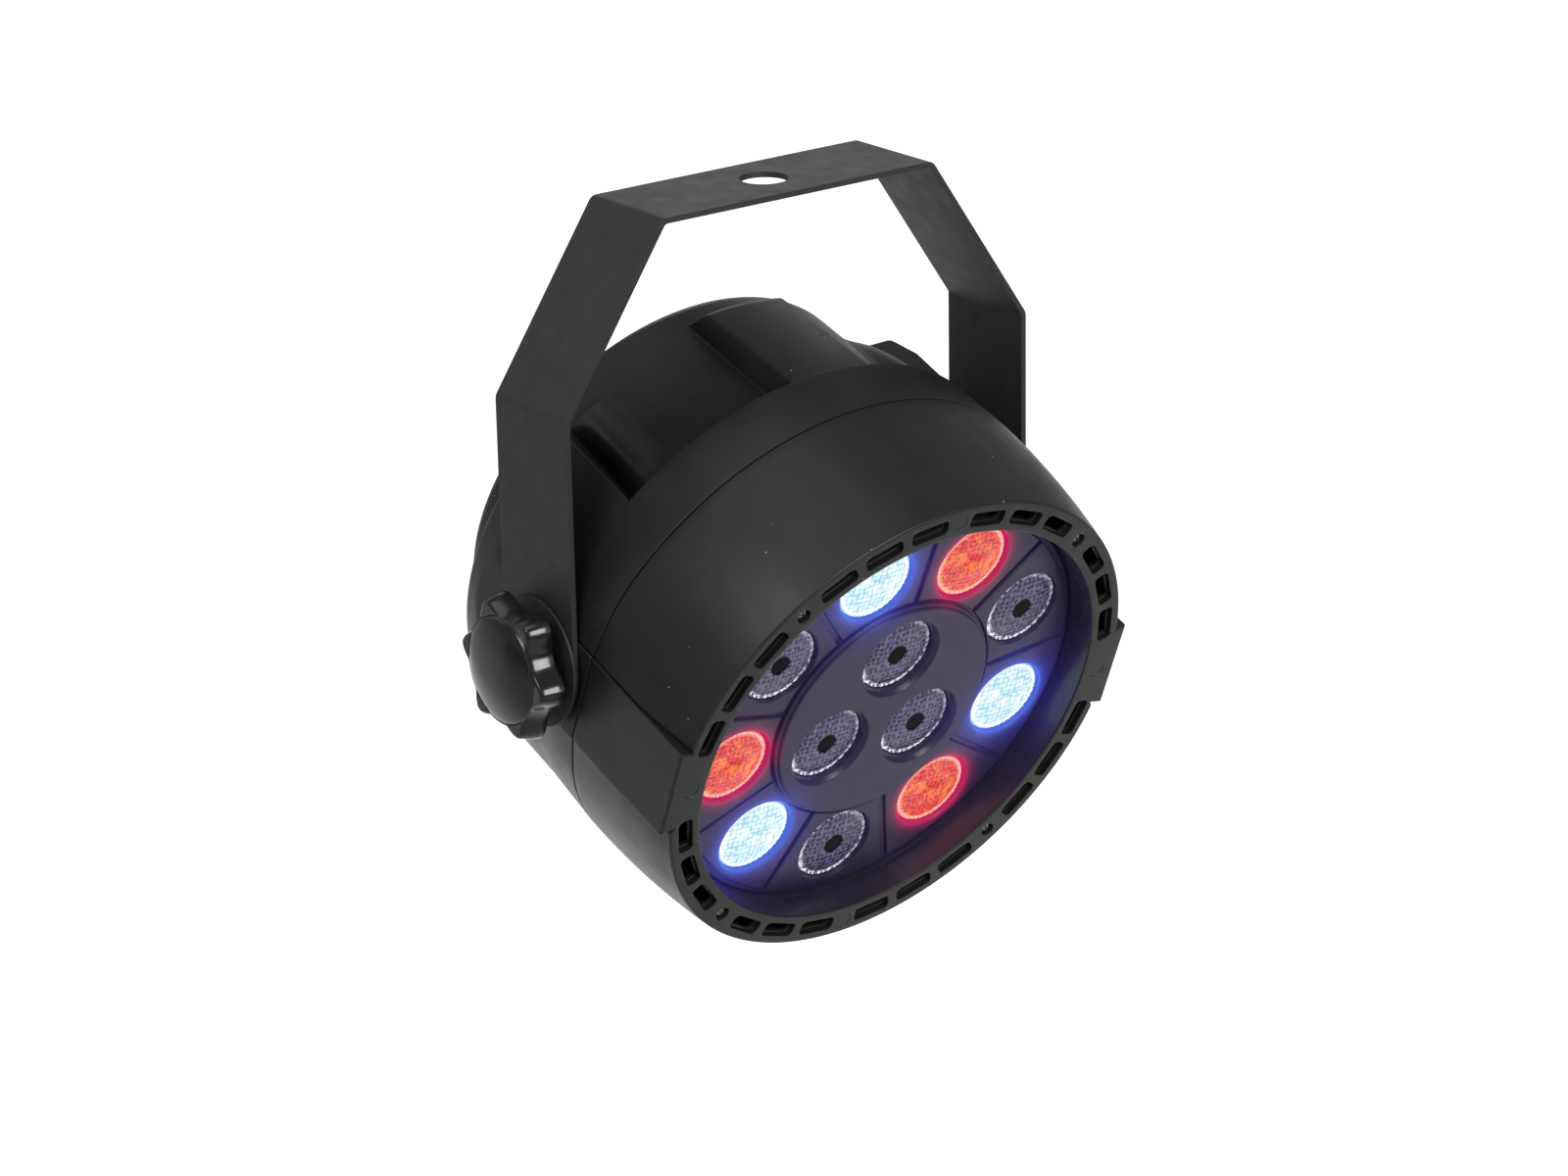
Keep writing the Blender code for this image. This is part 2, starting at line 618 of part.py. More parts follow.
def make_led_board():
    """A metal-core board with a raised emitter under each lens, on a finned heat sink."""
    board_front = LED_BOARD_Z + BOARD_THICKNESS
    board = rods("led_board", [(0, 0)], LED_BOARD_RADIUS, LED_BOARD_Z, board_front, housing, 36)
    half = EMITTER_HALF_WIDTH
    emitters = [
        ((x - half, y - half, LED_BOARD_Z + MM), (x + half, y + half, EMITTER_Z))
        for x, y in outer_places() + inner_places()
    ]
    join(board, blocks("emitters", emitters, housing))
    finish(board, white_board)

    sink_front = LED_BOARD_Z - GAP
    sink = rods("heat_sink", [(0, 0)], HEAT_SINK_RADIUS, HEAT_SINK_BASE_Z, sink_front, housing, 36)
    fins = []
    for x in [FIN_SPACING * i for i in range(-4, 5)]:
        reach = sqrt(FIN_REACH**2 - x**2)
        fins.append(((x - MM, -reach, FIN_BACK_Z), (x + MM, reach, HEAT_SINK_BASE_Z + MM)))
    join(sink, blocks("fins", fins, housing))
    finish(sink, bare_aluminium)


def make_power_supply():
    """The board across the middle of the drum, with its transformer and capacitor."""
    front = POWER_BOARD_Z
    low, high = (-46 * MM, -34 * MM, front - BOARD_THICKNESS), (46 * MM, 26 * MM, front)
    finish(blocks("power_supply_board", [(low, high)], housing), green_board)
    low, high = (-34 * MM, -12 * MM, front + GAP), (-8 * MM, 10 * MM, -5 * MM)
    transformer = blocks("transformer", [(low, high)], housing)
    soften(transformer, MM)
    finish(transformer, dark_plastic)
    can = [(0, 2 * MM), (7 * MM, 2 * MM), (8 * MM, MM), (8 * MM, front + GAP), (0, front + GAP)]
    finish(turned("smoothing_capacitor", can, housing, 16, (22 * MM, -8 * MM, 0)), blue_sleeve)


def make_rear_panel():
    """The round panel in the back of the drum, with openings for the controls and sockets."""
    outlines = [
        circle(PANEL_RADIUS, TURN_STEPS),
        rectangle(DISPLAY_SIZE, DISPLAY_CENTRE),
        rectangle([side + 2 * GAP for side in INLET_SIZE], INLET_CENTRE),
        circle(1.2 * MM, 10, MICROPHONE_CENTRE),
    ]
    outlines += [circle(BUTTON_RADIUS + GAP, 12, (x, BUTTON_HEIGHT)) for x in BUTTONS.values()]
    outlines += [circle(SOCKET_RADIUS + GAP, 20, centre) for centre in SOCKET_CENTRES.values()]
    outlines += [circle(PANEL_HOLE_RADIUS, 8, place) for place in around(4, PANEL_SCREW_OFFSET, pi / 4)]
    finish(extruded("rear_panel", outlines, REAR_Z, PANEL_FRONT_Z, housing), black_shell)


def make_controls():
    """The display behind its window, four push buttons, the board that carries them and the microphone."""
    x, y = DISPLAY_CENTRE
    half_x, half_y = DISPLAY_SIZE[0] / 2 - GAP, DISPLAY_SIZE[1] / 2 - GAP
    low, high = (x - half_x, y - half_y, -51.1 * MM), (x + half_x, y + half_y, -49.5 * MM)
    finish(blocks("display_window", [(low, high)], housing), clear_plastic)
    low, high = (x - 15 * MM, y - 8 * MM, -49 * MM), (x + 15 * MM, y + 8 * MM, -44 * MM)
    display = blocks("display_module", [(low, high)], housing)
    soften(display, 0.5 * MM)
    finish(display, dark_plastic)

    low = (-30 * MM, 5 * MM, CONTROL_BOARD_Z)
    board = blocks("control_board", [(low, (30 * MM, 40 * MM, CONTROL_BOARD_Z + BOARD_THICKNESS))], housing)
    half, back, front = 3 * MM, CONTROL_BOARD_Z - 1.7 * MM, CONTROL_BOARD_Z + 0.5 * MM
    switches = [
        ((x - half, BUTTON_HEIGHT - half, back), (x + half, BUTTON_HEIGHT + half, front))
        for x in BUTTONS.values()
    ]
    join(board, blocks("switches", switches, housing))
    finish(board, green_board)

    for name, x in BUTTONS.items():
        piece = turned(name, metres(BUTTON_OUTLINE), housing, 12, (x, BUTTON_HEIGHT, 0))
        finish(piece, dark_plastic)
    back, front, place = LEDGE_Z, -44 * MM, (*MICROPHONE_CENTRE, 0)
    microphone = rods("microphone", [(0, 0)], MICROPHONE_RADIUS, back, front, housing, 12, place)
    finish(microphone, bare_aluminium)


def make_sockets():
    """A three-pin data inlet, and a three-hole data outlet with a latch that pushes in."""
    place = (*SOCKET_CENTRES["dmx_in"], 0)
    finish(turned("dmx_in_socket", metres(SOCKET_BARREL + SOCKET_CUP), housing, 20, place), dark_plastic)
    insert = rods("dmx_in_insert", [(0, 0)], 7.6 * MM, -41 * MM, -38.3 * MM, housing, 20, place)
    join(insert, rods("data_pins", PIN_PLACES, 1.15 * MM, -51 * MM, -40 * MM, housing, 8, place))
    finish(insert, zinc)

    place = (*SOCKET_CENTRES["dmx_out"], 0)
    socket = turned("dmx_out_socket", metres(SOCKET_BARREL + SOCKET_CORE), housing, 20, place)
    holes = rods("data_holes", PIN_PLACES, 1.3 * MM, -60 * MM, -42 * MM, housing, 8, place)
    low, high = (-2.9 * MM, 7.1 * MM, -60 * MM), (2.9 * MM, 10.5 * MM, -44.5 * MM)
    cut(socket, holes, blocks("latch_slot", [(low, high)], housing, place))
    finish(socket, dark_plastic)
    low, high = (-2.6 * MM, 7.4 * MM, -55 * MM), (2.6 * MM, 9.1 * MM, -46.2 * MM)
    latch = blocks("dmx_out_latch", [(low, high)], housing, place)
    soften(latch, 0.3 * MM)
    finish(latch, zinc)


def make_power_inlet():
    """A snap-in mains inlet with three blades."""
    place = (*INLET_CENTRE, 0)
    body = extruded("power_inlet", [rectangle(INLET_SIZE)], -51.9 * MM, -30 * MM, housing, place)
    flange = rectangle([side + 4 * MM for side in INLET_SIZE], corner=2 * MM)
    join(body, extruded("inlet_flange", [flange], -53.6 * MM, -51.6 * MM, housing, place))
    cavity = metres(INLET_CAVITY)
    cut(body, extruded("inlet_cavity", [cavity], -60 * MM, -36 * MM, housing, place))
    finish(body, dark_plastic)
    base = [(x - GAP * x / abs(x), y - GAP * y / abs(y)) for x, y in cavity]
    core = extruded("power_inlet_core", [base], -38.6 * MM, -36.3 * MM, housing, place)
    blades = [
        ((x - MM, y - 2 * MM, -49.5 * MM), (x + MM, y + 2 * MM, -38 * MM)) for x, y in BLADE_PLACES
    ]
    join(core, blocks("blades", blades, housing, place))
    finish(core, zinc)


def knob_outline(turn):
    """A round outline with even lobes, broad at their tips and narrower between."""
    middle = (KNOB_TIP_RADIUS + KNOB_VALLEY_RADIUS) / 2
    depth = (KNOB_TIP_RADIUS - KNOB_VALLEY_RADIUS) / 2
    points = []
    for i in range(8 * KNOB_LOBES):
        angle = tau * i / (8 * KNOB_LOBES)
        radius = middle + depth * cos(KNOB_LOBES * angle)
        points.append((radius * cos(angle + turn), radius * sin(angle + turn)))
    return points


def make_clamp(side, axes, turn):
    """One side's knob, stud, washer and the insert that the stud screws into."""
    knob = extruded(f"{side}_knob", [knob_outline(turn), circle(6 * MM, 8)], KNOB_BACK, KNOB_FRONT, axes)
    soften(knob, 0.8 * MM)
    join(knob, turned(f"{side}_knob_hub", metres(KNOB_HUB_OUTLINE), axes, 20))
    finish(knob, black_gloss)
    finish(turned(f"{side}_stud", metres(STUD_OUTLINE), axes, 16), zinc)
    finish(turned(f"{side}_washer", metres(WASHER_OUTLINE), axes, 28), dark_plastic)
    finish(turned(f"{side}_pivot_insert", metres(INSERT_OUTLINE), axes, 16), brass)


for old in list(bpy.data.objects):
    bpy.data.objects.remove(old)
PARTS = new_collection("par_can_light")
CUTTERS = new_collection("cutters")

grey_coat = new_material("grey_coat", (0.055, 0.055, 0.06), 0.6)
black_shell = new_material("black_shell", (0.02, 0.02, 0.022), 0.5)
black_gloss = new_material("black_gloss", (0.012, 0.012, 0.014), 0.2)
dark_plastic = new_material("dark_plastic", (0.03, 0.03, 0.032), 0.45)
clear_plastic = new_material("clear_plastic", (0.8, 0.82, 0.85), 0.08)
white_board = new_material("white_board", (0.75, 0.75, 0.73), 0.4)
green_board = new_material("green_board", (0.03, 0.16, 0.06), 0.4)
blue_sleeve = new_material("blue_sleeve", (0.03, 0.05, 0.16), 0.35)
bare_aluminium = new_material("bare_aluminium", (0.72, 0.72, 0.73), 0.35, 1.0)
zinc = new_material("zinc", (0.62, 0.62, 0.6), 0.35, 1.0)
brass = new_material("brass", (0.72, 0.53, 0.22), 0.3, 1.0)

pivot = (0, 0, -YOKE_HEIGHT)
housing = add_axes("housing_axes", pivot, (pi / 2 + TILT, 0, 0))
left_side = add_axes("left_side_axes", pivot, (0, -pi / 2, 0))
right_side = add_axes("right_side_axes", pivot, (0, pi / 2, 0))
tilt_axes = add_axes("tilt_axes", pivot, (pi / 2, 0, pi / 2))

make_yoke()
make_front_shell()
make_rear_shell()
make_screws()
make_lens_plate()
make_lenses()
make_led_board()
make_power_supply()
make_rear_panel()
make_controls()
make_sockets()
make_power_inlet()
make_clamp("left", left_side, KNOB_TURN)
make_clamp("right", right_side, tau / KNOB_LOBES - KNOB_TURN)
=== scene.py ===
"""The looks of a compact LED par can light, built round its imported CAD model. Metres, +Z up.

Pieces on the housing are modelled in the housing's own axes, from the tilt axis: X to the right,
Y up the front face and Z forward along the beam. Profiles and outlines are in millimetres.
"""

import json
from math import acos, asin, atan2, cos, hypot, pi, radians, sin, sqrt, tau

import bmesh
import bpy
from mathutils import Matrix, Vector


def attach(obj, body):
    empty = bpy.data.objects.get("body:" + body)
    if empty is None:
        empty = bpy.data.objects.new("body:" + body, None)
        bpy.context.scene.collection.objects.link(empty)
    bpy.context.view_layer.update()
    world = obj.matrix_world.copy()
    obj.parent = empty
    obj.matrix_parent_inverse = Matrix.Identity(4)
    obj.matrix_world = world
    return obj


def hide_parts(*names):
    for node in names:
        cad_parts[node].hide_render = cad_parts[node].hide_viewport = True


def polar(radius, turn, centre=(0, 0)):
    return (centre[0] + radius * cos(turn), centre[1] + radius * sin(turn))


def in_quarters(angle):
    """An angle in degrees and its mirror images in the other three quarters, all in radians."""
    return [radians(turn) for turn in (angle, 180 - angle, 180 + angle, 360 - angle)]


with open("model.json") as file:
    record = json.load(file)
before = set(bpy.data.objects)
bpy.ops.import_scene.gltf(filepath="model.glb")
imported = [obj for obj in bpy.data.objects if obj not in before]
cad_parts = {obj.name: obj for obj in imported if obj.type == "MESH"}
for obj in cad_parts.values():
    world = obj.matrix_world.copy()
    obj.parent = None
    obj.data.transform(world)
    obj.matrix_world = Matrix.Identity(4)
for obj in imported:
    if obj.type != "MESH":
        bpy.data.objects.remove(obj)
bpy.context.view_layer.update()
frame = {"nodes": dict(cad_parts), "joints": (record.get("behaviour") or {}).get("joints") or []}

MM = 0.001
GAP = 0.3  # between pieces that touch on the real light
PIVOT = Vector(next(joint for joint in frame["joints"] if joint["name"] == "tilt")["pos_m"])
TILT = radians(21.86)
HOUSING = Matrix.Translation(PIVOT) @ Matrix.Rotation(pi / 2 + TILT, 4, "X")
SIDES = {
    "left": Matrix.Translation(PIVOT) @ Matrix.Rotation(-pi / 2, 4, "Y"),
    "right": Matrix.Translation(PIVOT) @ Matrix.Rotation(pi / 2, 4, "Y"),
}
ROUND_STEPS = 192

# Yoke.
STRIP_WIDTH = 30
STRIP_THICKNESS = 1.5
YOKE_HALF_WIDTH = 73.3
YOKE_HEIGHT = 111.3
LOWER_BEND_HEIGHT = 65.6
TOP_HALF_LENGTH = 42.4
BEND_RADIUS = 3
HANGING_HOLE_RADIUS = 6.25
PIVOT_HOLE_RADIUS = 4.35

# Shells.
FACE_Z = 56.4
FACE_BACK_Z = 53.6
SEAM_Z = 16.5
RIM_Z = -0.25
REAR_Z = -51.3
WALL = 2.2
BARREL_RADIUS = 73.24
BARREL_BULGE = 0.002435
BARREL_WIDEST_Z = 17.7
RIM_RADIUS = 72.46
FLAT_X = 71.5
FLAT_HALF_WIDTH = 13
BLOCK_STEP = 0.4  # how far the blocks stand out beside the seam
BLOCK_DIP = radians(17)
BLOCK_UNDERCUT = 0.24  # how steeply the upper and lower sides of a block slope in behind its edge
BLOCK_GROOVE = 0.9  # how deep the groove is between a block and the barrel
GROOVE_EDGE = radians(0.5)  # how far round the barrel the groove's edge is
GROOVE_END = radians(1.1)
GROOVE_CORNER = 0.22
ARC_STEPS = 52
MOUTH_RADIUS = 60.8
BEZEL_WALL = 1.6
BEZEL_BACK_Z = 43.2
SLOT_RADIUS = 65.05
SLOT_SIZE = (4.1, 10.9)
SLOT_CORNER = 1.5
SLOT_ANGLES = (14, 26, 38, 58, 70, 82)
POST_ANGLE = 48
DRUM = [(63.4, 5), (63.4, RIM_Z), (60.2, -48.3), (59.4, -50.3), (57.4, REAR_Z)]
END_PAD = [(72.3, 1), (70.2, -18), (68.1, -37), (60.4, -43), (59.9, -51)]
SIDE_PAD = [(72.3, 1), (72.1, -28), (70, -37), (60.4, -43), (59.9, -51)]
SIDE_PAD_ANGLE = radians(39)
PAD_HALF_WIDTH = 12
RIDGE_HEIGHT = 5.6
RIDGE_HALF_ANGLE = radians(6.8)
RIDGE_STRAIGHT_Z = -19
RIDGE_DOME = 19
PANEL_RADIUS = 53.7
LEDGE_RADIUS = 46
LEDGE_Z = -49.3

# Face. The walls of its holes are (growth, depth) steps from the front.
FACE_EDGE = 0.7
SLOT_WALL = [(0.18, 0), (0.05, 0.05), (0, 0.18), (0, 1.55), (-0.05, 1.65), (-0.32, 1.70), (-0.40, 1.78)]
SLOT_WALL += [(-0.40, FACE_Z - FACE_BACK_Z)]
SCREW_WELL_RADIUS = 1.9
SCREW_WALL = [(0.2, 0), (0.05, 0.06), (0, 0.2), (0, 2), (-0.5, 2), (-0.5, FACE_Z - FACE_BACK_Z)]
FRONT_SCREWS = [polar(SLOT_RADIUS, turn) for turn in in_quarters(POST_ANGLE)]
MARK_OFFSET = 65.5  # four shallow round marks stand above, below and beside the mouth
MARK_RADIUS = 2.4
MARK_WALL = [(0.1, 0), (0, 0.12)]

# Lenses: the outer ones and the inner ones sit on two circles.
OUTER_LENS_START = 27.1
OUTER_LENS_ANGLE = 40
OUTER_LENSES = [polar(45.5, radians(OUTER_LENS_START + OUTER_LENS_ANGLE * i)) for i in range(9)]
INNER_LENSES = [polar(16.8, radians(87.1 + 120 * i)) for i in range(3)]
LENS_STATES = ["off", "red", "cyan"] * 3
# Of a lit lens: its colour between its cells and in them, in brighter patches, in the specks and at the edge.
LENS_COLOURS = {
    "red": [(0.42, 0.004, 0.01), (1, 0.045, 0.045), (1, 0.26, 0.03), (1, 0.58, 0.46), (0.85, 0.02, 0.1)],
    "cyan": [(0.22, 0.58, 0.76), (0.86, 1, 1), (1, 1, 1), (1, 1, 1), (0.22, 0.46, 0.95)],
}
LENS_RADIUS = 10.8
LENS_STEPS = 156
LENS_RINGS = 52
LENS_FRONT_RADIUS = 9.9  # the patterned part
LENS_TOP_Z = 47.78
LENS_DOME = 0.95
LENS_SPOT_DEPTH = 0.35
LENS_RIM = [(10.05, 46.95), (10.3, 46.98), (10.55, 46.82), (10.75, 46.4)]
LENS_CUP = [(10.8, 46.2), (10.8, 44.4), (10.5, 43.6), (9.5, 42), (6.8, 37.6), (4.2, 33.4)]
LENSLET_PITCH = 1.5
LENSLET_RISE = 0.16
LENS_GLOW_Z = 45.6  # a lit lens shines only in front of this
PLATE_Z = 48
PLATE_BACK_Z = 44
PLATE_RADIUS = 60.3
CELL_INNER_RADIUS = 33.7
CELL_OUTER_RADIUS = 58.6
CELL_HALF_GAP = 0.75
CELL_STEPS = 24
DISC_Z = 49.5

# Rear panel.
SOCKET_CENTRES = {"dmx_in": (24, -10), "dmx_out": (-24, -10)}
PIN_PLACES = [(3.8, 0), (-3.8, 0), (0, -3.8)]
BLADE_PLACES = [(-7, -1.5), (7, -1.5), (0, 2.5)]
BUTTONS = {"mode_button": -22.5, "setup_button": -7.5, "up_button": 7.5, "down_button": 22.5}
BUTTON_HEIGHT = 12
INLET_CENTRE = (0, -33)
DISPLAY_CENTRE = (0, 30)
DISPLAY_SIZE = (26, 12)
MICROPHONE_CENTRE = (40, 12)
PANEL_SCREWS = [polar(50, turn) for turn in in_quarters(45)]

# Clamps. The knob's lobes reach beyond the circle of their roots.
KNOB_ROOT = 15.0
KNOB_LOBE = 3.95
KNOB_STEPS = 288
KNOB_TURN = 20.6
THREAD_STEP = 0.625
THREAD_TOP = 80.7
THREAD_END = 59.6

# Studio, in metres. The floor's glow grows from below the light to the back, and is weaker at the sides.
WORLD_STRENGTH = 0.30
FLOOR_HALF_SIZE = 12
FLOOR_HEIGHT = -0.36
FLOOR_BACK = (0.605, 0.796, 0)
FLOOR_SIDE = (0.796, -0.605, 0)
FLOOR_GLOW = (-0.15, 0.15, 0.0, 0.92)
FLOOR_FADE = (0.24, 0.50, 1.0, 0.30)
LIGHT_AIM = Vector((0, 0, -0.1))
LIGHTS = [
    ("top_panel", (-0.25, 0.0, 1.0), (0.8, 0.7), 2.0),
    ("left_panel", (-1.3, -0.45, 0.1), (0.5, 0.8), 0.7),
    ("back_left_panel", (-0.80, 1.15, 0.55), (0.7, 0.5), 0.9),
    ("back_panel", (0.85, 1.1, 0.45), (0.8, 0.5), 1.5),
    ("upper_left_panel", (-1.05, -0.28, 0.85), (0.6, 0.5), 5.5),
    ("streak_panel", (0.02, -1.35, 0.45), (0.5, 0.7), 13.0),
]
CAMERA_LENS = 109.633
CAMERA_PLACE = (-0.700983, -0.927737, 0.302482)
CAMERA_RIGHT = (0.792373, -0.60979, -0.017337)
CAMERA_UP = (0.216504, 0.254532, 0.942518)
CAMERA_BACK = (-0.570325, -0.750579, 0.333707)

tools = []  # cutting shapes of the piece being made


# ---------------- shapes


class Surface:
    """A surface built up from rings of points, in millimetres."""

    def __init__(self):
        self.mesh = bmesh.new()

    def ring(self, points):
        return [self.mesh.verts.new((x * MM, y * MM, z * MM)) for x, y, z in points]

    def strip(self, first, second):
        """Faces between two rings with the same number of points."""
        for i in range(len(first)):
            self.mesh.faces.new([first[i - 1], first[i], second[i], second[i - 1]])
        return second

    def strips(self, first, *rings):
        """Faces through several rings of points. Returns the first and the last ring."""
        start = last = first if isinstance(first[0], bmesh.types.BMVert) else self.ring(first)
        for points in rings:
            last = self.strip(last, self.ring(points))
        return start, last

    def circles(self, profile, steps=ROUND_STEPS, centre=(0, 0)):
        """Faces through circles at (radius, z) places. Returns the first and the last ring."""
        return self.strips(*[level(circle(radius, steps, centre), z) for radius, z in profile])

    def fill(self, *rings):
        """Flat faces inside the first ring and outside the others."""
        edges = []
        for ring in rings:
            for i in range(len(ring)):
                ends = (ring[i - 1], ring[i])
                edges.append(self.mesh.edges.get(ends) or self.mesh.edges.new(ends))
        bmesh.ops.triangle_fill(self.mesh, use_beauty=True, edges=edges)

    def fan(self, ring, centre):
        middle = self.ring([centre])[0]
        for i in range(len(ring)):
            self.mesh.faces.new([ring[i - 1], ring[i], middle])

    def object(self, name, axes):
        bmesh.ops.remove_doubles(self.mesh, verts=self.mesh.verts, dist=0.002 * MM)
        bmesh.ops.recalc_face_normals(self.mesh, faces=self.mesh.faces)
        mesh = bpy.data.meshes.new(name)
        self.mesh.to_mesh(mesh)
        self.mesh.free()
        return add_object(name, mesh, axes)


def add_object(name, mesh, axes):
    obj = bpy.data.objects.new(name, mesh)
    bpy.context.scene.collection.objects.link(obj)
    obj.matrix_world = axes
    return obj


def at(axes, place):
    return axes @ Matrix.Translation((place[0] * MM, place[1] * MM, 0))


def circle(radius, steps=ROUND_STEPS, centre=(0, 0)):
    return [polar(radius, tau * i / steps, centre) for i in range(steps)]


def clamp(value):
    return max(0.0, min(1.0, value))


def level(outline, z):
    """A flat outline put at one height."""
    return [(x, y, z) for x, y in outline]


def rounded(line, radius, steps=4, is_closed=False):
    """A line with its corners curved. Each gets the same number of points, however short its sides."""
    points = [] if is_closed else [tuple(line[0])]
    count = len(line)
    for i in range(count) if is_closed else range(1, count - 1):
        here = Vector(line[i])
        back, ahead = Vector(line[i - 1]) - here, Vector(line[(i + 1) % count]) - here
        if min(back.length, ahead.length) < 1e-6:
            points += [tuple(here)] * (steps + 1)
            continue
        half = max(0.01, back.angle(ahead) / 2)
        reach = min(radius * cos(half) / sin(half), 0.45 * back.length, 0.45 * ahead.length)
        start, end = here + back.normalized() * reach, here + ahead.normalized() * reach
        for step in range(steps + 1):
            t = step / steps
            points.append(tuple(start * (1 - t) ** 2 + here * (2 * t * (1 - t)) + end * t**2))
    if not is_closed:
        points.append(tuple(line[-1]))
    return points


def rectangle(size, centre=(0, 0), corner=0.5, turn=0.0, steps=5):
    half_x, half_y = size[0] / 2, size[1] / 2
    corners = [(-half_x, -half_y), (half_x, -half_y), (half_x, half_y), (-half_x, half_y)]
    return [
        (centre[0] + x * cos(turn) - y * sin(turn), centre[1] + x * sin(turn) + y * cos(turn))
        for x, y in rounded(corners, corner, steps, is_closed=True)
    ]


def full_turn(quarter):
    """A ring from a quarter of it, which runs from the X axis to the Y axis."""
    left = [(-x, y) for x, y in reversed(quarter[:-1])]
    half = list(quarter) + left
    return half + [(-x, -y) for x, y in half[1:-1]]


def radius_at(profile, z):
    """The radius of a profile of (radius, z) points, which run backwards along the beam."""
    for (r1, z1), (r2, z2) in zip(profile, profile[1:]):
        if z2 <= z <= z1:
            return r1 + (r2 - r1) * (z1 - z) / (z1 - z2)
    return profile[-1][0] if z < profile[-1][1] else profile[0][0]


def turned(name, profile, axes, steps=64):
    """Turns (radius, z) points about Z. They start and end on the axis, or make a closed ring."""
    surface = Surface()
    rings = [surface.ring(level(circle(radius, steps), z)) for radius, z in profile if radius > 0]
    for first, second in zip(rings, rings[1:]):
        surface.strip(first, second)
    if profile[0][0] > 0:
        surface.strip(rings[-1], rings[0])
    else:
        surface.fan(rings[0], (0, 0, profile[0][1]))
        surface.fan(rings[-1], (0, 0, profile[-1][1]))
    return surface.object(name, axes)


def extruded(name, outlines, low, high, axes, edge=0.0):
    """A flat shape from low to high along Z. Its first outline is the outside and the others are holes."""
    surface = Surface()
    bottoms, tops = [], []
    for i, outline in enumerate(outlines):
        shrink = edge if i == 0 else -edge
        small = offset(outline, -shrink)
        lines = [(outline, low), (outline, high)]
        if edge:
            lines = [(small, low), (outline, low + edge), (outline, high - edge), (small, high)]
        first, last = surface.strips(*[level(*line) for line in lines])
        bottoms.append(first)
        tops.append(last)
    surface.fill(*bottoms)
    surface.fill(*tops)
    return surface.object(name, axes)


def offset(outline, distance):
    """A closed outline, which runs anticlockwise, moved outwards by a distance."""
    if not distance:
        return outline
    moved = []
    for i, point in enumerate(outline):
        before, after = Vector(outline[i - 1]), Vector(outline[(i + 1) % len(outline)])
        along = (after - before).normalized()
        moved.append((point[0] + along.y * distance, point[1] - along.x * distance))
    return moved


def block(name, low, high, axes):
    """A box from its low corner to its high corner."""
    shape = bmesh.new()
    low, high = Vector(low) * MM, Vector(high) * MM
    place = Matrix.Translation((low + high) / 2) @ Matrix.Diagonal((*(high - low), 1))
    bmesh.ops.create_cube(shape, size=1, matrix=place)
    mesh = bpy.data.meshes.new(name)
    shape.to_mesh(mesh)
    shape.free()
    return add_object(name, mesh, axes)


def combine(target, operation, *others):
    for other in others:
        boolean = target.modifiers.new(other.name, "BOOLEAN")
        boolean.operation = operation
        boolean.object = other
        boolean.solver = "EXACT"
        tools.append(other)


def join(target, *others):
    combine(target, "UNION", *others)


def cut(target, *others):
    combine(target, "DIFFERENCE", *others)


def soften(obj, width, segments=3, angle=35):
    bevel = obj.modifiers.new("edges", "BEVEL")
    bevel.width = width * MM
    bevel.segments = segments
    bevel.limit_method = "ANGLE"
    bevel.angle_limit = radians(angle)


def bake(obj, sharp=35):
    """Applies the modifiers, and keeps flat faces flat beside their rounded edges."""
    bpy.context.view_layer.update()
    for step in ("shape", "normals"):
        if step == "normals":
            obj.modifiers.new(step, "WEIGHTED_NORMAL").keep_sharp = True
        mesh = bpy.data.meshes.new_from_object(obj.evaluated_get(bpy.context.evaluated_depsgraph_get()))
        obj.modifiers.clear()
        obj.data = mesh
        if step == "shape":
            mesh.shade_smooth()
            mesh.set_sharp_from_angle(angle=radians(sharp))
        bpy.context.view_layer.update()
    obj.data.name = obj.name
    while tools:
        bpy.data.objects.remove(tools.pop())
    return obj


def finish(obj, look, body, node):
    """Gives a made piece its material and its body, and hides the CAD part it stands for."""
    obj.data.materials.clear()
    obj.data.materials.append(look.material)
    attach(obj, body)
    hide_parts(node)
    return obj


def on_housing(obj, look, node, sharp=35):
    return finish(bake(obj, sharp), look, "housing", node)


def recolour(piece, look, is_other):
    """Gives the faces whose middles pass the test a second material."""
    piece.data.materials.append(look.material)
    for face in piece.data.polygons:
        face.material_index = int(is_other(face.center))


# ---------------- materials


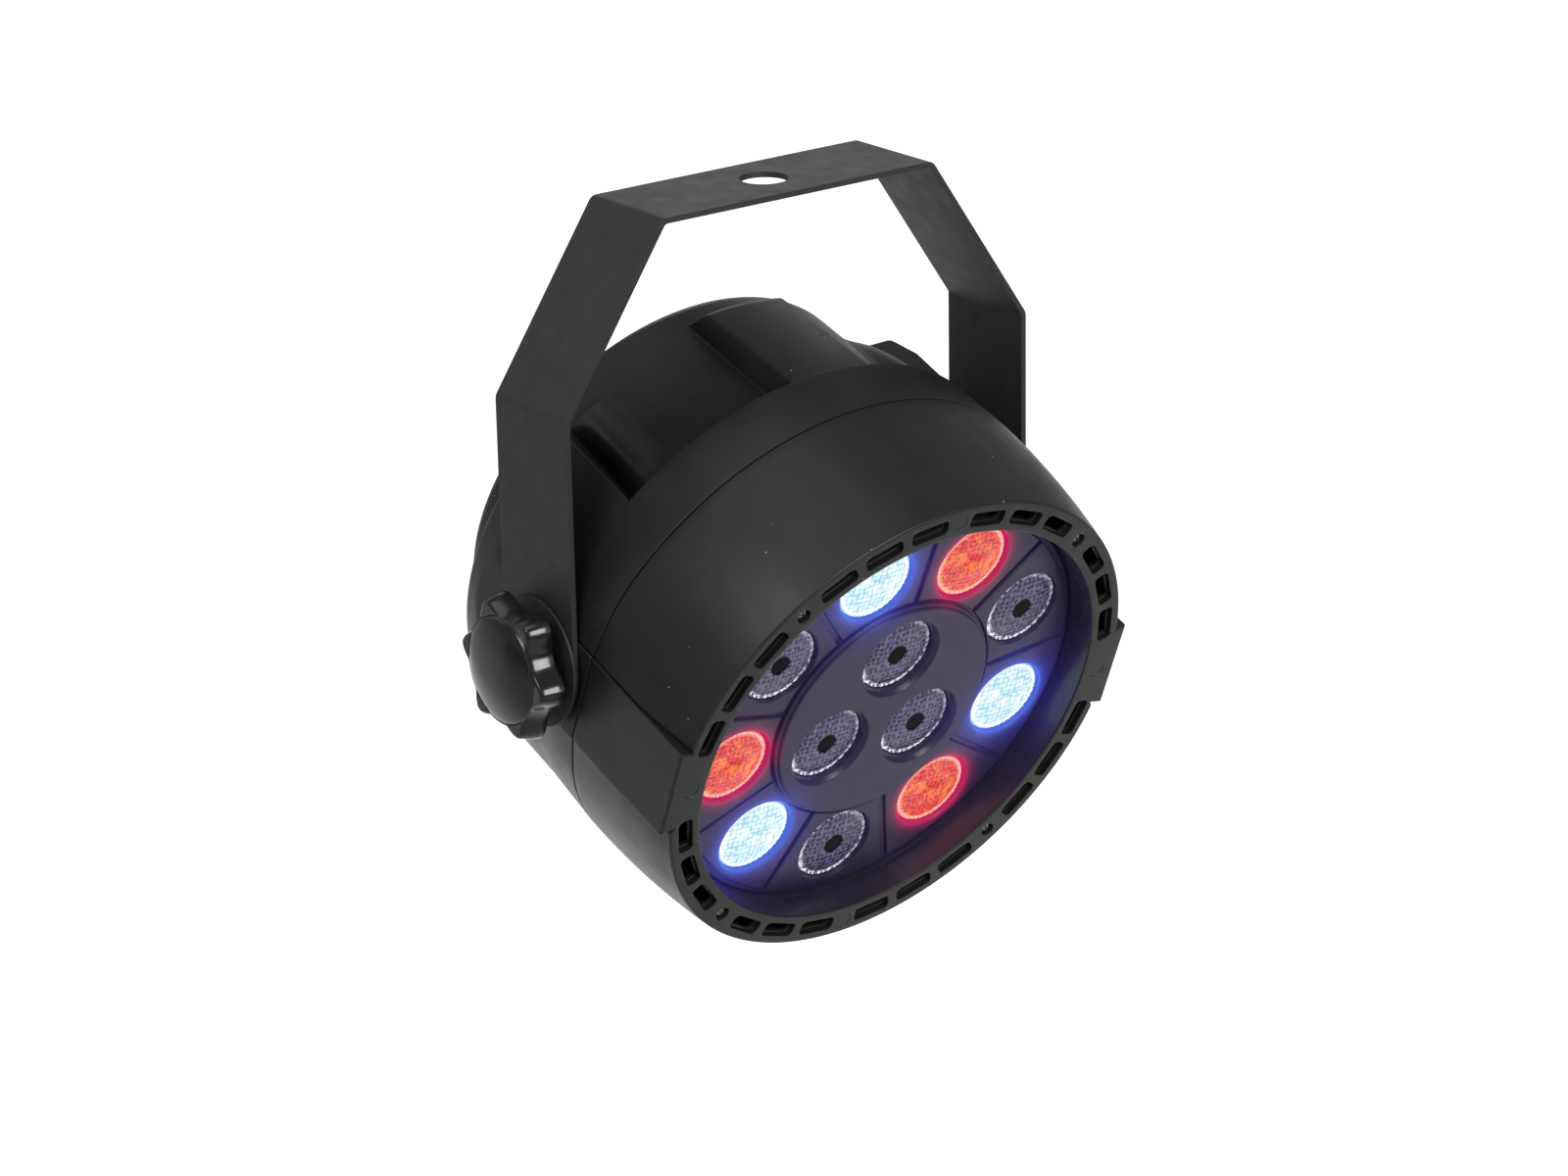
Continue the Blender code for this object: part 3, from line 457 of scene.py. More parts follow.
class Nodes:
    """A Principled material with its nodes, all placed by object coordinates."""

    def __init__(self, name, colour, roughness, metallic=0.0, specular=0.5):
        self.material = bpy.data.materials.new(name)
        self.material.use_nodes = True
        self.tree = self.material.node_tree
        self.shader = self.tree.nodes["Principled BSDF"]
        values = {"Base Color": (*colour, 1), "Roughness": roughness, "Metallic": metallic}
        for name, value in {**values, "Specular IOR Level": specular}.items():
            self.shader.inputs[name].default_value = value
        self.colour, self.roughness = colour, roughness
        self.place = self.tree.nodes.new("ShaderNodeTexCoord").outputs["Object"]

    def add(self, kind, inputs=None, **settings):
        node = self.tree.nodes.new("ShaderNode" + kind)
        for name, value in settings.items():
            setattr(node, name, value)
        for name, value in (inputs or {}).items():
            self.set(node.inputs[name], value)
        return node

    def set(self, socket, value):
        if isinstance(value, bpy.types.NodeSocket):
            self.tree.links.new(value, socket)
        else:
            socket.default_value = value

    def math(self, operation, *values):
        node = self.add("Math", operation=operation)
        for socket, value in zip(node.inputs, values):
            self.set(socket, value)
        return node.outputs[0]

    def vector(self, operation, first, second=(0, 0, 0)):
        return self.add("VectorMath", {0: first, 1: second}, operation=operation)

    def times(self, first, second):
        return self.math("MULTIPLY", first, second)

    def mix(self, factor, first, second):
        """A colour between two, each a socket or three numbers."""
        node = self.add("Mix", data_type="RGBA")
        self.set(node.inputs["Factor"], factor)
        for socket, value in ((node.inputs[6], first), (node.inputs[7], second)):
            self.set(socket, value if isinstance(value, bpy.types.NodeSocket) else (*value, 1))
        return node.outputs[2]

    def layers(self, colour, *masked):
        """Lays colours, each with its mask before it, over a first colour."""
        for mask, other in masked:
            colour = self.mix(mask, colour, other)
        return colour

    def stretched(self, scale):
        return self.add("Mapping", {"Vector": self.place, "Scale": scale}).outputs[0]

    def noise(self, size, detail=2.0, vector=None, roughness=0.5):
        """Noise whose features are about this many millimetres across."""
        inputs = {"Vector": vector or self.place, "Scale": 1 / (size * MM), "Detail": detail}
        return self.add("TexNoise", {**inputs, "Roughness": roughness}).outputs["Fac"]

    def ramp(self, value, low, high, to_low=0.0, to_high=1.0):
        inputs = {"Value": value, "From Min": low, "From Max": high, "To Min": to_low, "To Max": to_high}
        return self.add("MapRange", inputs).outputs[0]

    def paint(self, colour):
        self.set(self.shader.inputs["Base Color"], colour)
        return self

    def shine(self, colour):
        self.set(self.shader.inputs["Emission Color"], colour)
        self.shader.inputs["Emission Strength"].default_value = 1.0
        return self

    def vary(self, size, amount, roughness_amount):
        """Slow changes of tone and of gloss over the surface."""
        value = self.noise(size, 3)
        dark = tuple(c * (1 - amount) for c in self.colour)
        light = tuple(c * (1 + amount) for c in self.colour)
        self.paint(self.mix(self.ramp(value, 0.3, 0.7), dark, light))
        ends = (self.roughness - roughness_amount, self.roughness + roughness_amount)
        self.set(self.shader.inputs["Roughness"], self.ramp(self.noise(size * 0.6, 4), 0.25, 0.75, *ends))
        return self

    def bump(self, height, depth):
        node = self.add("Bump", {"Height": height, "Distance": depth * MM, "Strength": 1.0})
        if self.shader.inputs["Normal"].links:
            self.set(node.inputs["Normal"], self.shader.inputs["Normal"].links[0].from_socket)
        self.set(self.shader.inputs["Normal"], node.outputs[0])
        return self

    def grain(self, size, depth, detail=2.0):
        return self.bump(self.noise(size, detail), depth)

    def voronoi(self, scale):
        return self.add("TexVoronoi", {"Vector": self.place, "Scale": scale}).outputs

    def specks(self, spacing, share, tone):
        """Rare tiny light specks, such as dust."""
        cells = self.voronoi(1 / (spacing * MM))
        near = self.math("LESS_THAN", cells["Distance"], 0.045)
        chance = self.add("SeparateColor", {"Color": cells["Color"]}).outputs[0]
        some = self.math("GREATER_THAN", chance, 1 - share)
        base = self.shader.inputs["Base Color"]
        below = base.links[0].from_socket if base.links else tuple(base.default_value)[:3]
        return self.paint(self.mix(self.times(near, some), below, (tone,) * 3))

    def brushed(self, scale, size, depth):
        """Fine lines in one direction."""
        return self.bump(self.noise(size, 3, self.stretched(scale)), depth)


def halo(nodes, centres, reach, colour, strength):
    """Painted light of one colour round each of the (x, y) centres, fading with distance."""
    total = None
    for x, y in centres:
        centre = (x * MM, y * MM, PLATE_Z * MM)
        away = nodes.vector("DISTANCE", nodes.place, centre).outputs["Value"]
        beyond = nodes.math("SUBTRACT", away, LENS_RADIUS * MM)
        fall = nodes.math("EXPONENT", nodes.math("DIVIDE", nodes.math("MAXIMUM", beyond, 0), -reach * MM))
        total = fall if total is None else nodes.math("ADD", total, fall)
    return nodes.mix(nodes.times(total, strength), (0, 0, 0), colour)


def glow(nodes, strength):
    """Painted light: the light of the lit lenses on the plastic round them, as emission placed by distance
    from each lit lens.
    """
    red, cyan = [
        [place for place, found in zip(OUTER_LENSES, LENS_STATES) if found == state]
        for state in ("red", "cyan")
    ]
    light = (0, 0, 0)
    for centres, reach, colour in (
        (cyan, 4.2, (0.036, 0.018, 0.26)),
        (cyan, 1.2, (0.02, 0.12, 0.50)),
        (red, 1.2, (0.60, 0.004, 0.08)),
        (red + cyan, 20, (0.0050, 0.0030, 0.026)),
    ):
        light = nodes.vector("ADD", light, halo(nodes, centres, reach, colour, strength)).outputs[0]
    return nodes.shine(light)


def metal(name, colour, roughness, line_scale, depth=0.003):
    nodes = Nodes(name, colour, roughness, metallic=1.0)
    return nodes.vary(1.5, 0.10, 0.08).brushed(line_scale, 0.3, depth)


def circuit_green():
    nodes = Nodes("circuit_green", (0.012, 0.095, 0.035), 0.38)
    tracks = {"Vector": nodes.place, "Scale": 160.0, "Mortar Size": 0.012, "Bias": 0.0}
    lines = nodes.add("TexBrick", tracks).outputs["Fac"]
    pads = nodes.math("LESS_THAN", nodes.voronoi(260.0)["Distance"], 0.16)
    copper = (nodes.times(lines, 0.8), (0.03, 0.19, 0.07))
    nodes.paint(nodes.layers(nodes.colour, copper, (pads, (0.55, 0.50, 0.42))))
    return nodes.bump(lines, 0.03)


def board_white():
    nodes = Nodes("board_white", (0.62, 0.62, 0.60), 0.36)
    pads = nodes.math("LESS_THAN", nodes.voronoi(190.0)["Distance"], 0.14)
    nodes.paint(nodes.mix(pads, nodes.colour, (0.55, 0.40, 0.18)))
    return nodes.grain(0.5, 0.01)


def display_face():
    nodes = Nodes("display_face", (0.010, 0.010, 0.012), 0.22)
    bricks = {"Vector": nodes.stretched((1, 1, 0)), "Scale": 130.0, "Mortar Size": 0.03}
    bars = nodes.add("TexBrick", bricks).outputs["Fac"]
    return nodes.paint(nodes.mix(bars, nodes.colour, (0.035, 0.032, 0.030))).grain(0.3, 0.004)


def smoked_window():
    nodes = Nodes("smoked_window", (0.05, 0.012, 0.012), 0.07)
    nodes.shader.inputs["Transmission Weight"].default_value = 0.35
    nodes.shader.inputs["IOR"].default_value = 1.49
    return nodes.vary(6, 0.3, 0.03).grain(3, 0.004)


def lens_nodes(name, colour):
    """A lens with a scattering rim, a fine honeycomb and a dot in the middle."""
    nodes = Nodes(name, colour, 0.16, specular=0.6)
    flat = nodes.stretched((1, 1, 0))
    nodes.away = nodes.math("DIVIDE", nodes.vector("LENGTH", flat).outputs["Value"], MM)
    nodes.flat = flat
    nodes.height = nodes.math("DIVIDE", nodes.add("SeparateXYZ", {"Vector": nodes.place}).outputs["Z"], MM)
    pitch = {"Vector": flat, "Scale": 1 / (LENSLET_PITCH * MM), "Randomness": 0.35}
    nodes.cells = nodes.add("TexVoronoi", pitch).outputs["Distance"]
    nodes.sparkle = nodes.noise(0.55, 3, flat, 0.7)
    nodes.rim = nodes.times(nodes.ramp(nodes.away, 9.1, 10.1), nodes.ramp(nodes.away, 10.9, 10.5))
    nodes.dot = nodes.ramp(nodes.away, 3.1, 2.6)
    gloss = nodes.ramp(nodes.away, 2.6, 3.1, 0.05, 0.5)
    nodes.set(nodes.shader.inputs["Specular IOR Level"], gloss)
    return nodes


def lens_off():
    nodes = lens_nodes("lens_off", (0.020, 0.018, 0.034))
    # Painted highlight: the rim's own white specks are made lighter on the side the light falls from, and are
    # given a painted glow.
    side = nodes.vector("DOT_PRODUCT", nodes.flat, (-0.72 / MM, -0.30 / MM, 0))
    painted_lit_side = nodes.ramp(side.outputs["Value"], -7.0, 6.0, 0.35, 1.0)
    specks = nodes.ramp(nodes.noise(1.1, 3, nodes.flat, 0.7), 0.44, 0.54)
    rim_specks_and_painted_light = nodes.times(nodes.times(nodes.rim, specks), painted_lit_side)
    flecks = nodes.ramp(nodes.noise(0.9, 3, nodes.flat, 0.7), 0.56, 0.66)
    body = nodes.layers(
        (0.022, 0.019, 0.050),
        (nodes.ramp(nodes.cells, 0.34, 0.60), (0.135, 0.120, 0.260)),
        (nodes.times(flecks, 0.55), (0.42, 0.40, 0.56)),
        (rim_specks_and_painted_light, (0.92, 0.90, 0.98)),
        (nodes.dot, (0.002, 0.002, 0.004)),
    )
    # The glow of this unlit lens is painted light.
    return nodes.paint(body).shine(nodes.mix(nodes.times(rim_specks_and_painted_light, 0.6), (0, 0, 0), (0.9, 0.88, 1.0)))


def lens_lit(name, deep, main, warm, pale, edge_colour):
    """A lens lit from behind: deep colour between its cells, brighter patches and a pale speckled rim."""
    nodes = lens_nodes(name, (0.03, 0.03, 0.03))
    nodes.shader.inputs["Roughness"].default_value = 0.3
    patches = nodes.ramp(nodes.noise(4.2, 4, nodes.flat, 0.65), 0.48, 0.62)
    ring = nodes.times(nodes.ramp(nodes.away, 8.8, 9.8), nodes.ramp(nodes.away, 10.5, 10.1))
    light = nodes.layers(
        main,
        (nodes.times(nodes.ramp(nodes.cells, 0.22, 0.58), 0.85), deep),
        (nodes.times(patches, 0.75), warm),
        (nodes.times(nodes.ramp(nodes.sparkle, 0.56, 0.66), 0.6), pale),
        (nodes.times(ring, nodes.ramp(nodes.sparkle, 0.36, 0.52)), pale),
        (nodes.ramp(nodes.away, 10.2, 10.6), edge_colour),
    )
    forward = nodes.ramp(nodes.height, LENS_GLOW_Z, LENS_GLOW_Z + 0.3)
    return nodes.shine(nodes.mix(forward, (0, 0, 0), light))


# ---------------- yoke


def make_yoke():
    """A strip bent four times, with round leg ends, a pivot hole in each and a hanging hole in the top."""
    half = STRIP_WIDTH / 2
    leg = [(YOKE_HALF_WIDTH, 0), (YOKE_HALF_WIDTH, LOWER_BEND_HEIGHT), (TOP_HALF_LENGTH, YOKE_HEIGHT)]
    line = leg + [(-x, z) for x, z in reversed(leg)]
    end = [polar(half, -radians(89) * i / 24) for i in range(24, 0, -1)]
    rows = [(YOKE_HALF_WIDTH, z, width) for width, z in end]
    rows += [(x, z, half) for x, z in rounded(line, BEND_RADIUS, 10)]
    rows += [(-YOKE_HALF_WIDTH, z, width) for width, z in reversed(end)]
    points = [(x * MM, y * MM, z * MM) for x, z, width in rows for y in (-width, width)]
    faces = [(2 * i, 2 * i + 1, 2 * i + 3, 2 * i + 2) for i in range(len(rows) - 1)]
    mesh = bpy.data.meshes.new("yoke")
    mesh.from_pydata(points, [], faces)
    yoke = add_object("yoke_strip", mesh, Matrix.Translation(PIVOT))
    solidify = yoke.modifiers.new("thickness", "SOLIDIFY")
    solidify.thickness = STRIP_THICKNESS * MM
    solidify.offset = -1
    solidify.use_even_offset = True
    reach = YOKE_HALF_WIDTH + 1
    pivot_hole = [(0, reach), (PIVOT_HOLE_RADIUS, reach), (PIVOT_HOLE_RADIUS, -reach), (0, -reach)]
    hanging_hole = [(0, 5), (HANGING_HOLE_RADIUS, 5), (HANGING_HOLE_RADIUS, -5), (0, -5)]
    pivots = turned("pivots", pivot_hole, SIDES["right"], 48)
    cut(yoke, pivots, turned("hanging", hanging_hole, Matrix.Identity(4), 64))
    soften(yoke, 0.28, 3, 50)
    finish(bake(yoke), coat, "yoke", "yoke")


# ---------------- shells


def barrel_radius(z):
    return BARREL_RADIUS - BARREL_BULGE * (z - BARREL_WIDEST_Z) ** 2


def side_section(radius, inset=0.0):
    """A shell's outline, smaller by the inset, with a flat block at each side and a dip beside it."""
    radius, flat, half = radius - inset, FLAT_X - inset, FLAT_HALF_WIDTH - inset
    low = hypot(flat - BLOCK_STEP, half)
    foot = asin(half / min(radius, low))
    first = foot + GROOVE_END
    arc = []
    for i in range(ARC_STEPS + 1):
        turn = first + (pi / 2 - first) * i / ARC_STEPS
        rise = min(1.0, (turn - foot) / BLOCK_DIP)
        arc.append(polar(radius - max(0.0, radius - low) * (1 - rise * rise * (3 - 2 * rise)), turn))
    deep = min(radius, low) * cos(foot) - BLOCK_GROOVE
    bottom = (deep, half - BLOCK_UNDERCUT * (flat - deep))
    edge = polar(min(radius, low), foot + GROOVE_EDGE)
    quarter = [(flat, 0), (flat, 4), (flat, 8)]
    quarter += rounded([(flat, 10), (flat, half), bottom, edge, arc[0]], GROOVE_CORNER)
    return full_turn(quarter + arc[1:])


def like(ring, radius):
    """A circle with its points at the same angles as the ring's."""
    return [polar(radius, atan2(y, x)) for x, y in ring]


def under(ring, radius):
    """A circle with its points at the angles of a ring from side_section, but which never turns back."""
    turns = [0.0]
    for x, y in ring[1:]:
        step = (atan2(y, x) - turns[-1] + pi) % tau - pi
        turns.append(turns[-1] + max(step, 1e-5))
    return [polar(radius, turn) for turn in turns]


def well(surface, outline, wall):
    """The wall of one hole in the face. Returns its first and last rings."""
    return surface.strips(*[level(offset(outline, growth), FACE_Z - depth) for growth, depth in wall])


def make_front_shell():
    """The barrel in front of the seam, the face with its stepped slots and the wall round the mouth."""
    surface = Surface()
    back = SEAM_Z + GAP
    shoulder = FACE_Z - FACE_EDGE
    outer = side_section(barrel_radius(back))
    rings = [level(under(outer, barrel_radius(back) - WALL), back)]
    rings += [level(side_section(barrel_radius(back), 0.25), back)]
    stations = [back + 0.1 + 0.15 * (i > 0) + (shoulder - back - 0.25) * i / 30 for i in range(31)]
    rings += [level(side_section(barrel_radius(z), 0.12 if i == 0 else 0), z) for i, z in enumerate(stations)]
    for turn in [radians(18 * i) for i in range(1, 6)]:
        inset, drop = FACE_EDGE * (1 - cos(turn)), FACE_EDGE * (1 - sin(turn))
        rings.append(level(side_section(barrel_radius(shoulder), inset), FACE_Z - drop))
    inner_seam, face_outside = surface.strips(*rings)

    slot_turns = [turn for angle in SLOT_ANGLES for turn in in_quarters(angle)]
    slots = [rectangle(SLOT_SIZE, polar(SLOT_RADIUS, turn), SLOT_CORNER, turn, 6) for turn in slot_turns]
    holes = [well(surface, slot, SLOT_WALL) for slot in slots]
    holes += [well(surface, circle(SCREW_WELL_RADIUS, 32, place), SCREW_WALL) for place in FRONT_SCREWS]
    hole_tops, hole_bottoms = map(list, zip(*holes))
    for turn in (0, pi / 2, pi, 3 * pi / 2):
        place = polar(MARK_OFFSET, turn)
        top, bottom = well(surface, circle(MARK_RADIUS, 40, place), MARK_WALL)
        surface.fan(bottom, (*place, FACE_Z - MARK_WALL[-1][1]))
        hole_tops.append(top)

    mouth = [(0.5, FACE_Z), (0.2, FACE_Z - 0.08), (0.06, FACE_Z - 0.22), (0, FACE_Z - 0.5), (0, 50)]
    mouth += [(0, BEZEL_BACK_Z), (BEZEL_WALL, BEZEL_BACK_Z), (BEZEL_WALL, FACE_BACK_Z)]
    mouth_front, mouth_back = surface.circles([(MOUTH_RADIUS + growth, z) for growth, z in mouth])
    surface.fill(face_outside, mouth_front, *hole_tops)
    inside = [level(under(outer, barrel_radius(z) - WALL), z) for z in (FACE_BACK_Z, 45, 36, 26)]
    inner_face, last = surface.strips(*inside)
    surface.strip(last, inner_seam)
    surface.fill(inner_face, mouth_back, *hole_bottoms)
    shell = surface.object("front_shell_moulding", HOUSING)
    on_housing(shell, shell_black, "front_shell", 40)
    # The wall round the mouth gets the bezel material, which carries a painted glow from the lit lenses.
    most, highest = (MOUTH_RADIUS + 0.1) * MM, (FACE_Z - 0.4) * MM
    recolour(shell, bezel, lambda middle: hypot(*middle[:2]) < most and middle.z < highest)


def ridge_rise(turn, z):
    """How far a ridge stands above the drum, at an angle from its middle. It tapers away to the rear."""
    along = clamp((RIDGE_STRAIGHT_Z - z) / RIDGE_DOME)
    across = min(1.0, abs(turn) / RIDGE_HALF_ANGLE)
    return RIDGE_HEIGHT * sqrt(1 - along**1.6) * (0.5 + 0.5 * cos(pi * across)) ** 0.8


def drum_section(z, end_pad, side_pad):
    """The drum's outline at one place along the beam, with its pads and ridges."""
    floor = radius_at(DRUM, z)
    side, end = max(floor, radius_at(side_pad, z)), max(floor, radius_at(end_pad, z))
    pad_turns = [SIDE_PAD_ANGLE * i / 27 for i in range(27)]
    pad = [polar(min(side, (FLAT_X - 0.3) / cos(turn)), turn) for turn in pad_turns]
    foot_turn = acos(PAD_HALF_WIDTH / floor)
    valley_turns = [SIDE_PAD_ANGLE + (foot_turn - SIDE_PAD_ANGLE) * i / 60 for i in range(1, 60)]
    valley = [polar(floor + ridge_rise(turn - pi / 4, z), turn) for turn in valley_turns]
    foot = (PAD_HALF_WIDTH, floor * sin(foot_turn))
    top_turn = acos(PAD_HALF_WIDTH / end)
    corner = (PAD_HALF_WIDTH, end * sin(top_turn))
    arc = [polar(end, top_turn + (pi / 2 - top_turn) * i / 12) for i in range(1, 13)]
    step = [polar(side, SIDE_PAD_ANGLE), polar(floor, SIDE_PAD_ANGLE)]
    quarter = pad + rounded([pad[-1], *step, valley[0]], 0.7)[1:] + valley[1:-1]
    quarter += rounded([valley[-1], foot, corner, arc[0]], 0.6)
    return full_turn(quarter + arc[1:])


def make_rear_shell():
    """The band behind the seam and the narrower drum, with its pads, ridges and recess for the panel."""
    surface = Surface()
    end_pad, side_pad = rounded(END_PAD, 2.5, 8), rounded(SIDE_PAD, 2.5, 8)
    edge = 0.25
    edge_steps = [(edge, 0), (edge / 3, edge / 3)]
    band = [(BARREL_RADIUS, SEAM_Z), (RIM_RADIUS, RIM_Z)]
    inner = under(side_section(BARREL_RADIUS), BARREL_RADIUS - WALL)
    rings = [level(inner, RIM_Z + WALL), level(inner, SEAM_Z)]
    rings += [level(side_section(BARREL_RADIUS, inset), SEAM_Z - depth) for inset, depth in edge_steps]
    for i in range(13):
        z = SEAM_Z - edge + (RIM_Z + edge - SEAM_Z + edge) * i / 12
        rings.append(level(side_section(radius_at(band, z)), z))
    rings += [level(side_section(RIM_RADIUS, inset), RIM_Z + depth) for inset, depth in reversed(edge_steps)]
    inner_front, rim = surface.strips(*rings)

    stations = [RIM_Z - i * 1.6 for i in range(12)] + [-19 - i * 0.8 for i in range(1, 23)]
    stations += [-37 - i * 0.35 for i in range(18)] + [-43.3, -46, DRUM[2][1]]
    drum_rings = [level(drum_section(z, end_pad, side_pad), z) for z in stations]
    last = drum_section(stations[-1], end_pad, side_pad)
    recess = PANEL_RADIUS + GAP
    tail = [(60.1, -48.6), (59.8, -49.6), (59.2, -50.4), (58.3, -51.0), (57.2, REAR_Z)]
    tail += [(recess + 0.25, REAR_Z), (recess, REAR_Z + 0.25), (recess, LEDGE_Z), (LEDGE_RADIUS, LEDGE_Z)]
    tail += [(LEDGE_RADIUS, LEDGE_Z + WALL), (58, LEDGE_Z + WALL), (61.2, RIM_Z + WALL)]
    drum_rings += [level(like(last, radius), z) for radius, z in tail]
    drum_front, inner_drum = surface.strips(*drum_rings)
    surface.fill(rim, drum_front)
    surface.fill(inner_front, inner_drum)
    shell = surface.object("rear_shell_moulding", HOUSING)
    bore = [(0, 50), (6.3, 50), (6.3, 70.3), (PIVOT_HOLE_RADIUS, 70.3), (PIVOT_HOLE_RADIUS, 80), (0, 80)]
    holes = [turned(f"{side}_bore", bore, axes, 48) for side, axes in SIDES.items()]
    screw_hole = [(0, -52), (1.5, -52), (1.5, -45), (0, -45)]
    for i, place in enumerate(PANEL_SCREWS):
        holes.append(turned(f"panel_hole_{i}", screw_hole, at(HOUSING, place), 20))
    cut(shell, *holes)
    shell.data.transform(shell.matrix_world)
    shell.matrix_world = Matrix.Identity(4)
    on_housing(shell, shell_black, "rear_shell", 40)


# ---------------- lens plate and lenses


def cell_outline(index, inset):
    """One cell of the plate, between two grooves, the centre disc and the rim."""
    middle, half = radians(OUTER_LENS_START + OUTER_LENS_ANGLE * index), radians(OUTER_LENS_ANGLE / 2)
    points = []
    for radius, way in ((CELL_OUTER_RADIUS - inset, 1), (CELL_INNER_RADIUS + inset, -1)):
        reach = half - asin((CELL_HALF_GAP + inset) / radius)
        turns = [middle + way * reach * (2 * i / CELL_STEPS - 1) for i in range(CELL_STEPS + 1)]
        points += [polar(radius, turn) for turn in turns]
    return points


def collar(surface, place, top, width):
    """The cone and the bore round one lens."""
    bore = LENS_RADIUS + 0.22
    steps = [(bore + width, top), (bore + 0.8 * width, top - 0.08), (bore + 0.65 * width, top - 0.3)]
    steps += [(bore + 0.1, top - 1.2), (bore, top - 1.5), (bore, PLATE_BACK_Z)]
    return surface.circles(steps, 72, place)


def make_lens_plate():
    """A round plate with nine cells between grooves, a raised disc and a cone round each lens."""
    surface = Surface()
    floor = PLATE_Z - 0.9
    cell_wall = [(0.45, 0), (0.22, 0.06), (0.06, 0.22), (0, 0.45), (-0.05, 0.9)]
    bottoms, cell_feet = [], []
    for index, place in enumerate(OUTER_LENSES):
        rings = [level(cell_outline(index, inset), PLATE_Z - depth) for inset, depth in cell_wall]
        top, foot = surface.strips(*rings)
        hole, bottom = collar(surface, place, PLATE_Z, 0.3)
        surface.fill(top, hole)
        cell_feet.append(foot)
        bottoms.append(bottom)
    disc = [(31.6, 0), (31.9, 0.07), (32.1, 0.3), (32.15, 0.75), (32.3, 0.9), (32.75, 0.93), (32.95, 1.05)]
    disc += [(33.0, 1.3), (33.05, DISC_Z - floor)]
    disc_top, disc_foot = surface.circles([(radius, DISC_Z - depth) for radius, depth in disc])
    holes = []
    for place in INNER_LENSES:
        hole, bottom = collar(surface, place, DISC_Z, 1.1)
        holes.append(hole)
        bottoms.append(bottom)
    surface.fill(disc_top, *holes)
    edge = [(PLATE_RADIUS - 0.2, floor), (PLATE_RADIUS, floor - 0.2), (PLATE_RADIUS, PLATE_BACK_Z)]
    rim, back = surface.circles(edge)
    surface.fill(rim, disc_foot, *cell_feet)
    surface.fill(back, *bottoms)
    on_housing(surface.object("lens_plate_moulding", HOUSING), plate_plastic, "lens_plate", 50)


def lens_height(x, y):
    """The front of a lens: a shallow dome with small hexagonal lenslets and a flat spot in the middle."""
    away = hypot(x, y)
    dome = LENS_TOP_Z - LENS_DOME * (away / LENS_FRONT_RADIUS) ** 2.4
    row = LENSLET_PITCH * sqrt(3) / 2
    nearest = 9.0
    for j in (-1, 0, 1):
        line = round(y / row) + j
        shift = 0.5 * LENSLET_PITCH * (line % 2)
        centre_x = round((x - shift) / LENSLET_PITCH) * LENSLET_PITCH + shift
        nearest = min(nearest, (x - centre_x) ** 2 + (y - line * row) ** 2)
    lenslet = LENSLET_RISE * (1 - 3 * nearest / LENSLET_PITCH**2)
    lenslet *= clamp((9.5 - away) / 0.5) * clamp((away - 2.8) / 0.4)
    return dome + lenslet - LENS_SPOT_DEPTH * clamp((3.0 - away) / 0.5)


def make_lens_mesh():
    """One lens, shared by all twelve: the patterned front, a faceted rim and a cup down to the emitter."""
    surface = Surface()
    steps = LENS_STEPS
    rings = []
    for i in range(1, LENS_RINGS + 1):
        outline = circle(LENS_FRONT_RADIUS * i / LENS_RINGS, steps)
        rings.append([(x, y, lens_height(x, y)) for x, y in outline])
    for radius, z in LENS_RIM:
        ring = []
        for k, (x, y) in enumerate(circle(radius, steps)):
            facet = 0.10 * sin(39 * tau * k / steps + 3 * radius) + 0.06 * sin(61 * tau * k / steps)
            ring.append((x, y, z + facet * (radius < 10.6)))
        rings.append(ring)
    rings += [level(circle(radius, steps), z) for radius, z in LENS_CUP]
    first, last = surface.strips(*rings)
    surface.fan(first, (0, 0, LENS_TOP_Z - LENS_SPOT_DEPTH))
    surface.fan(last, (0, 0, LENS_CUP[-1][1]))
    return bake(surface.object("lens_shape", HOUSING), 70)


def make_lenses():
    looks = {state: lens_lit(f"lens_{state}", *colours) for state, colours in LENS_COLOURS.items()}
    looks["off"] = lens_off()
    shape = make_lens_mesh()
    mesh = shape.data
    bpy.data.objects.remove(shape)
    for kind, places, states in (("outer", OUTER_LENSES, LENS_STATES), ("inner", INNER_LENSES, ["off"] * 3)):
        for i, place in enumerate(places):
            lens = add_object(f"{kind}_lens_optic_{i + 1}", mesh.copy(), at(HOUSING, place))
            finish(lens, looks[states[i]], "housing", f"{kind}_lens_{i + 1}")


# ---------------- screws and clamps


def cross_recess(name, low, high, width, length):
    """Two crossed bars along the beam, which cut the drive of a screw."""
    x, y = length / 2, width / 2
    bars = [("a", x, y), ("b", y, x)]
    return [block(f"{name}_{end}", (-x, -y, low), (x, y, high), HOUSING) for end, x, y in bars]


def make_screws():
    """The long screws that hold the front shell, and the short ones in the rear panel."""
    front = [(0, 55.72), (0.7, 55.68), (1.2, 55.5), (1.52, 55.2), (1.6, 54.95), (1.6, 54.7), (1.1, 54.65)]
    front += [(1.1, 34.6), (0.7, 34.1), (0, 34)]
    rear = [(0, -44), (0.7, -44.1), (1.2, -44.6), (1.2, -51.6), (2.45, -51.6), (2.5, -51.8), (2.5, -52.4)]
    rear += [(2.3, -52.8), (1.6, -53.2), (0.8, -53.38), (0, -53.4)]
    groups = (
        ("front_screw", front, FRONT_SCREWS, (55.0, 56.2, 0.45, 1.9)),
        ("rear_screw", rear, PANEL_SCREWS, (-54.0, -52.3, 0.7, 2.9)),
    )
    for name, profile, places, recess in groups:
        first = turned(name, profile, HOUSING, 32)
        cut(first, *cross_recess(name, *recess))
        bake(first)
        for i, place in enumerate(places):
            axes = at(HOUSING, place) @ Matrix.Rotation(0.5 + i, 4, "Z")
            screw = add_object(f"{name}_metal_{i + 1}", first.data.copy(), axes)
            finish(screw, screw_metal, "housing", f"{name}_{i + 1}")
        bpy.data.objects.remove(first)


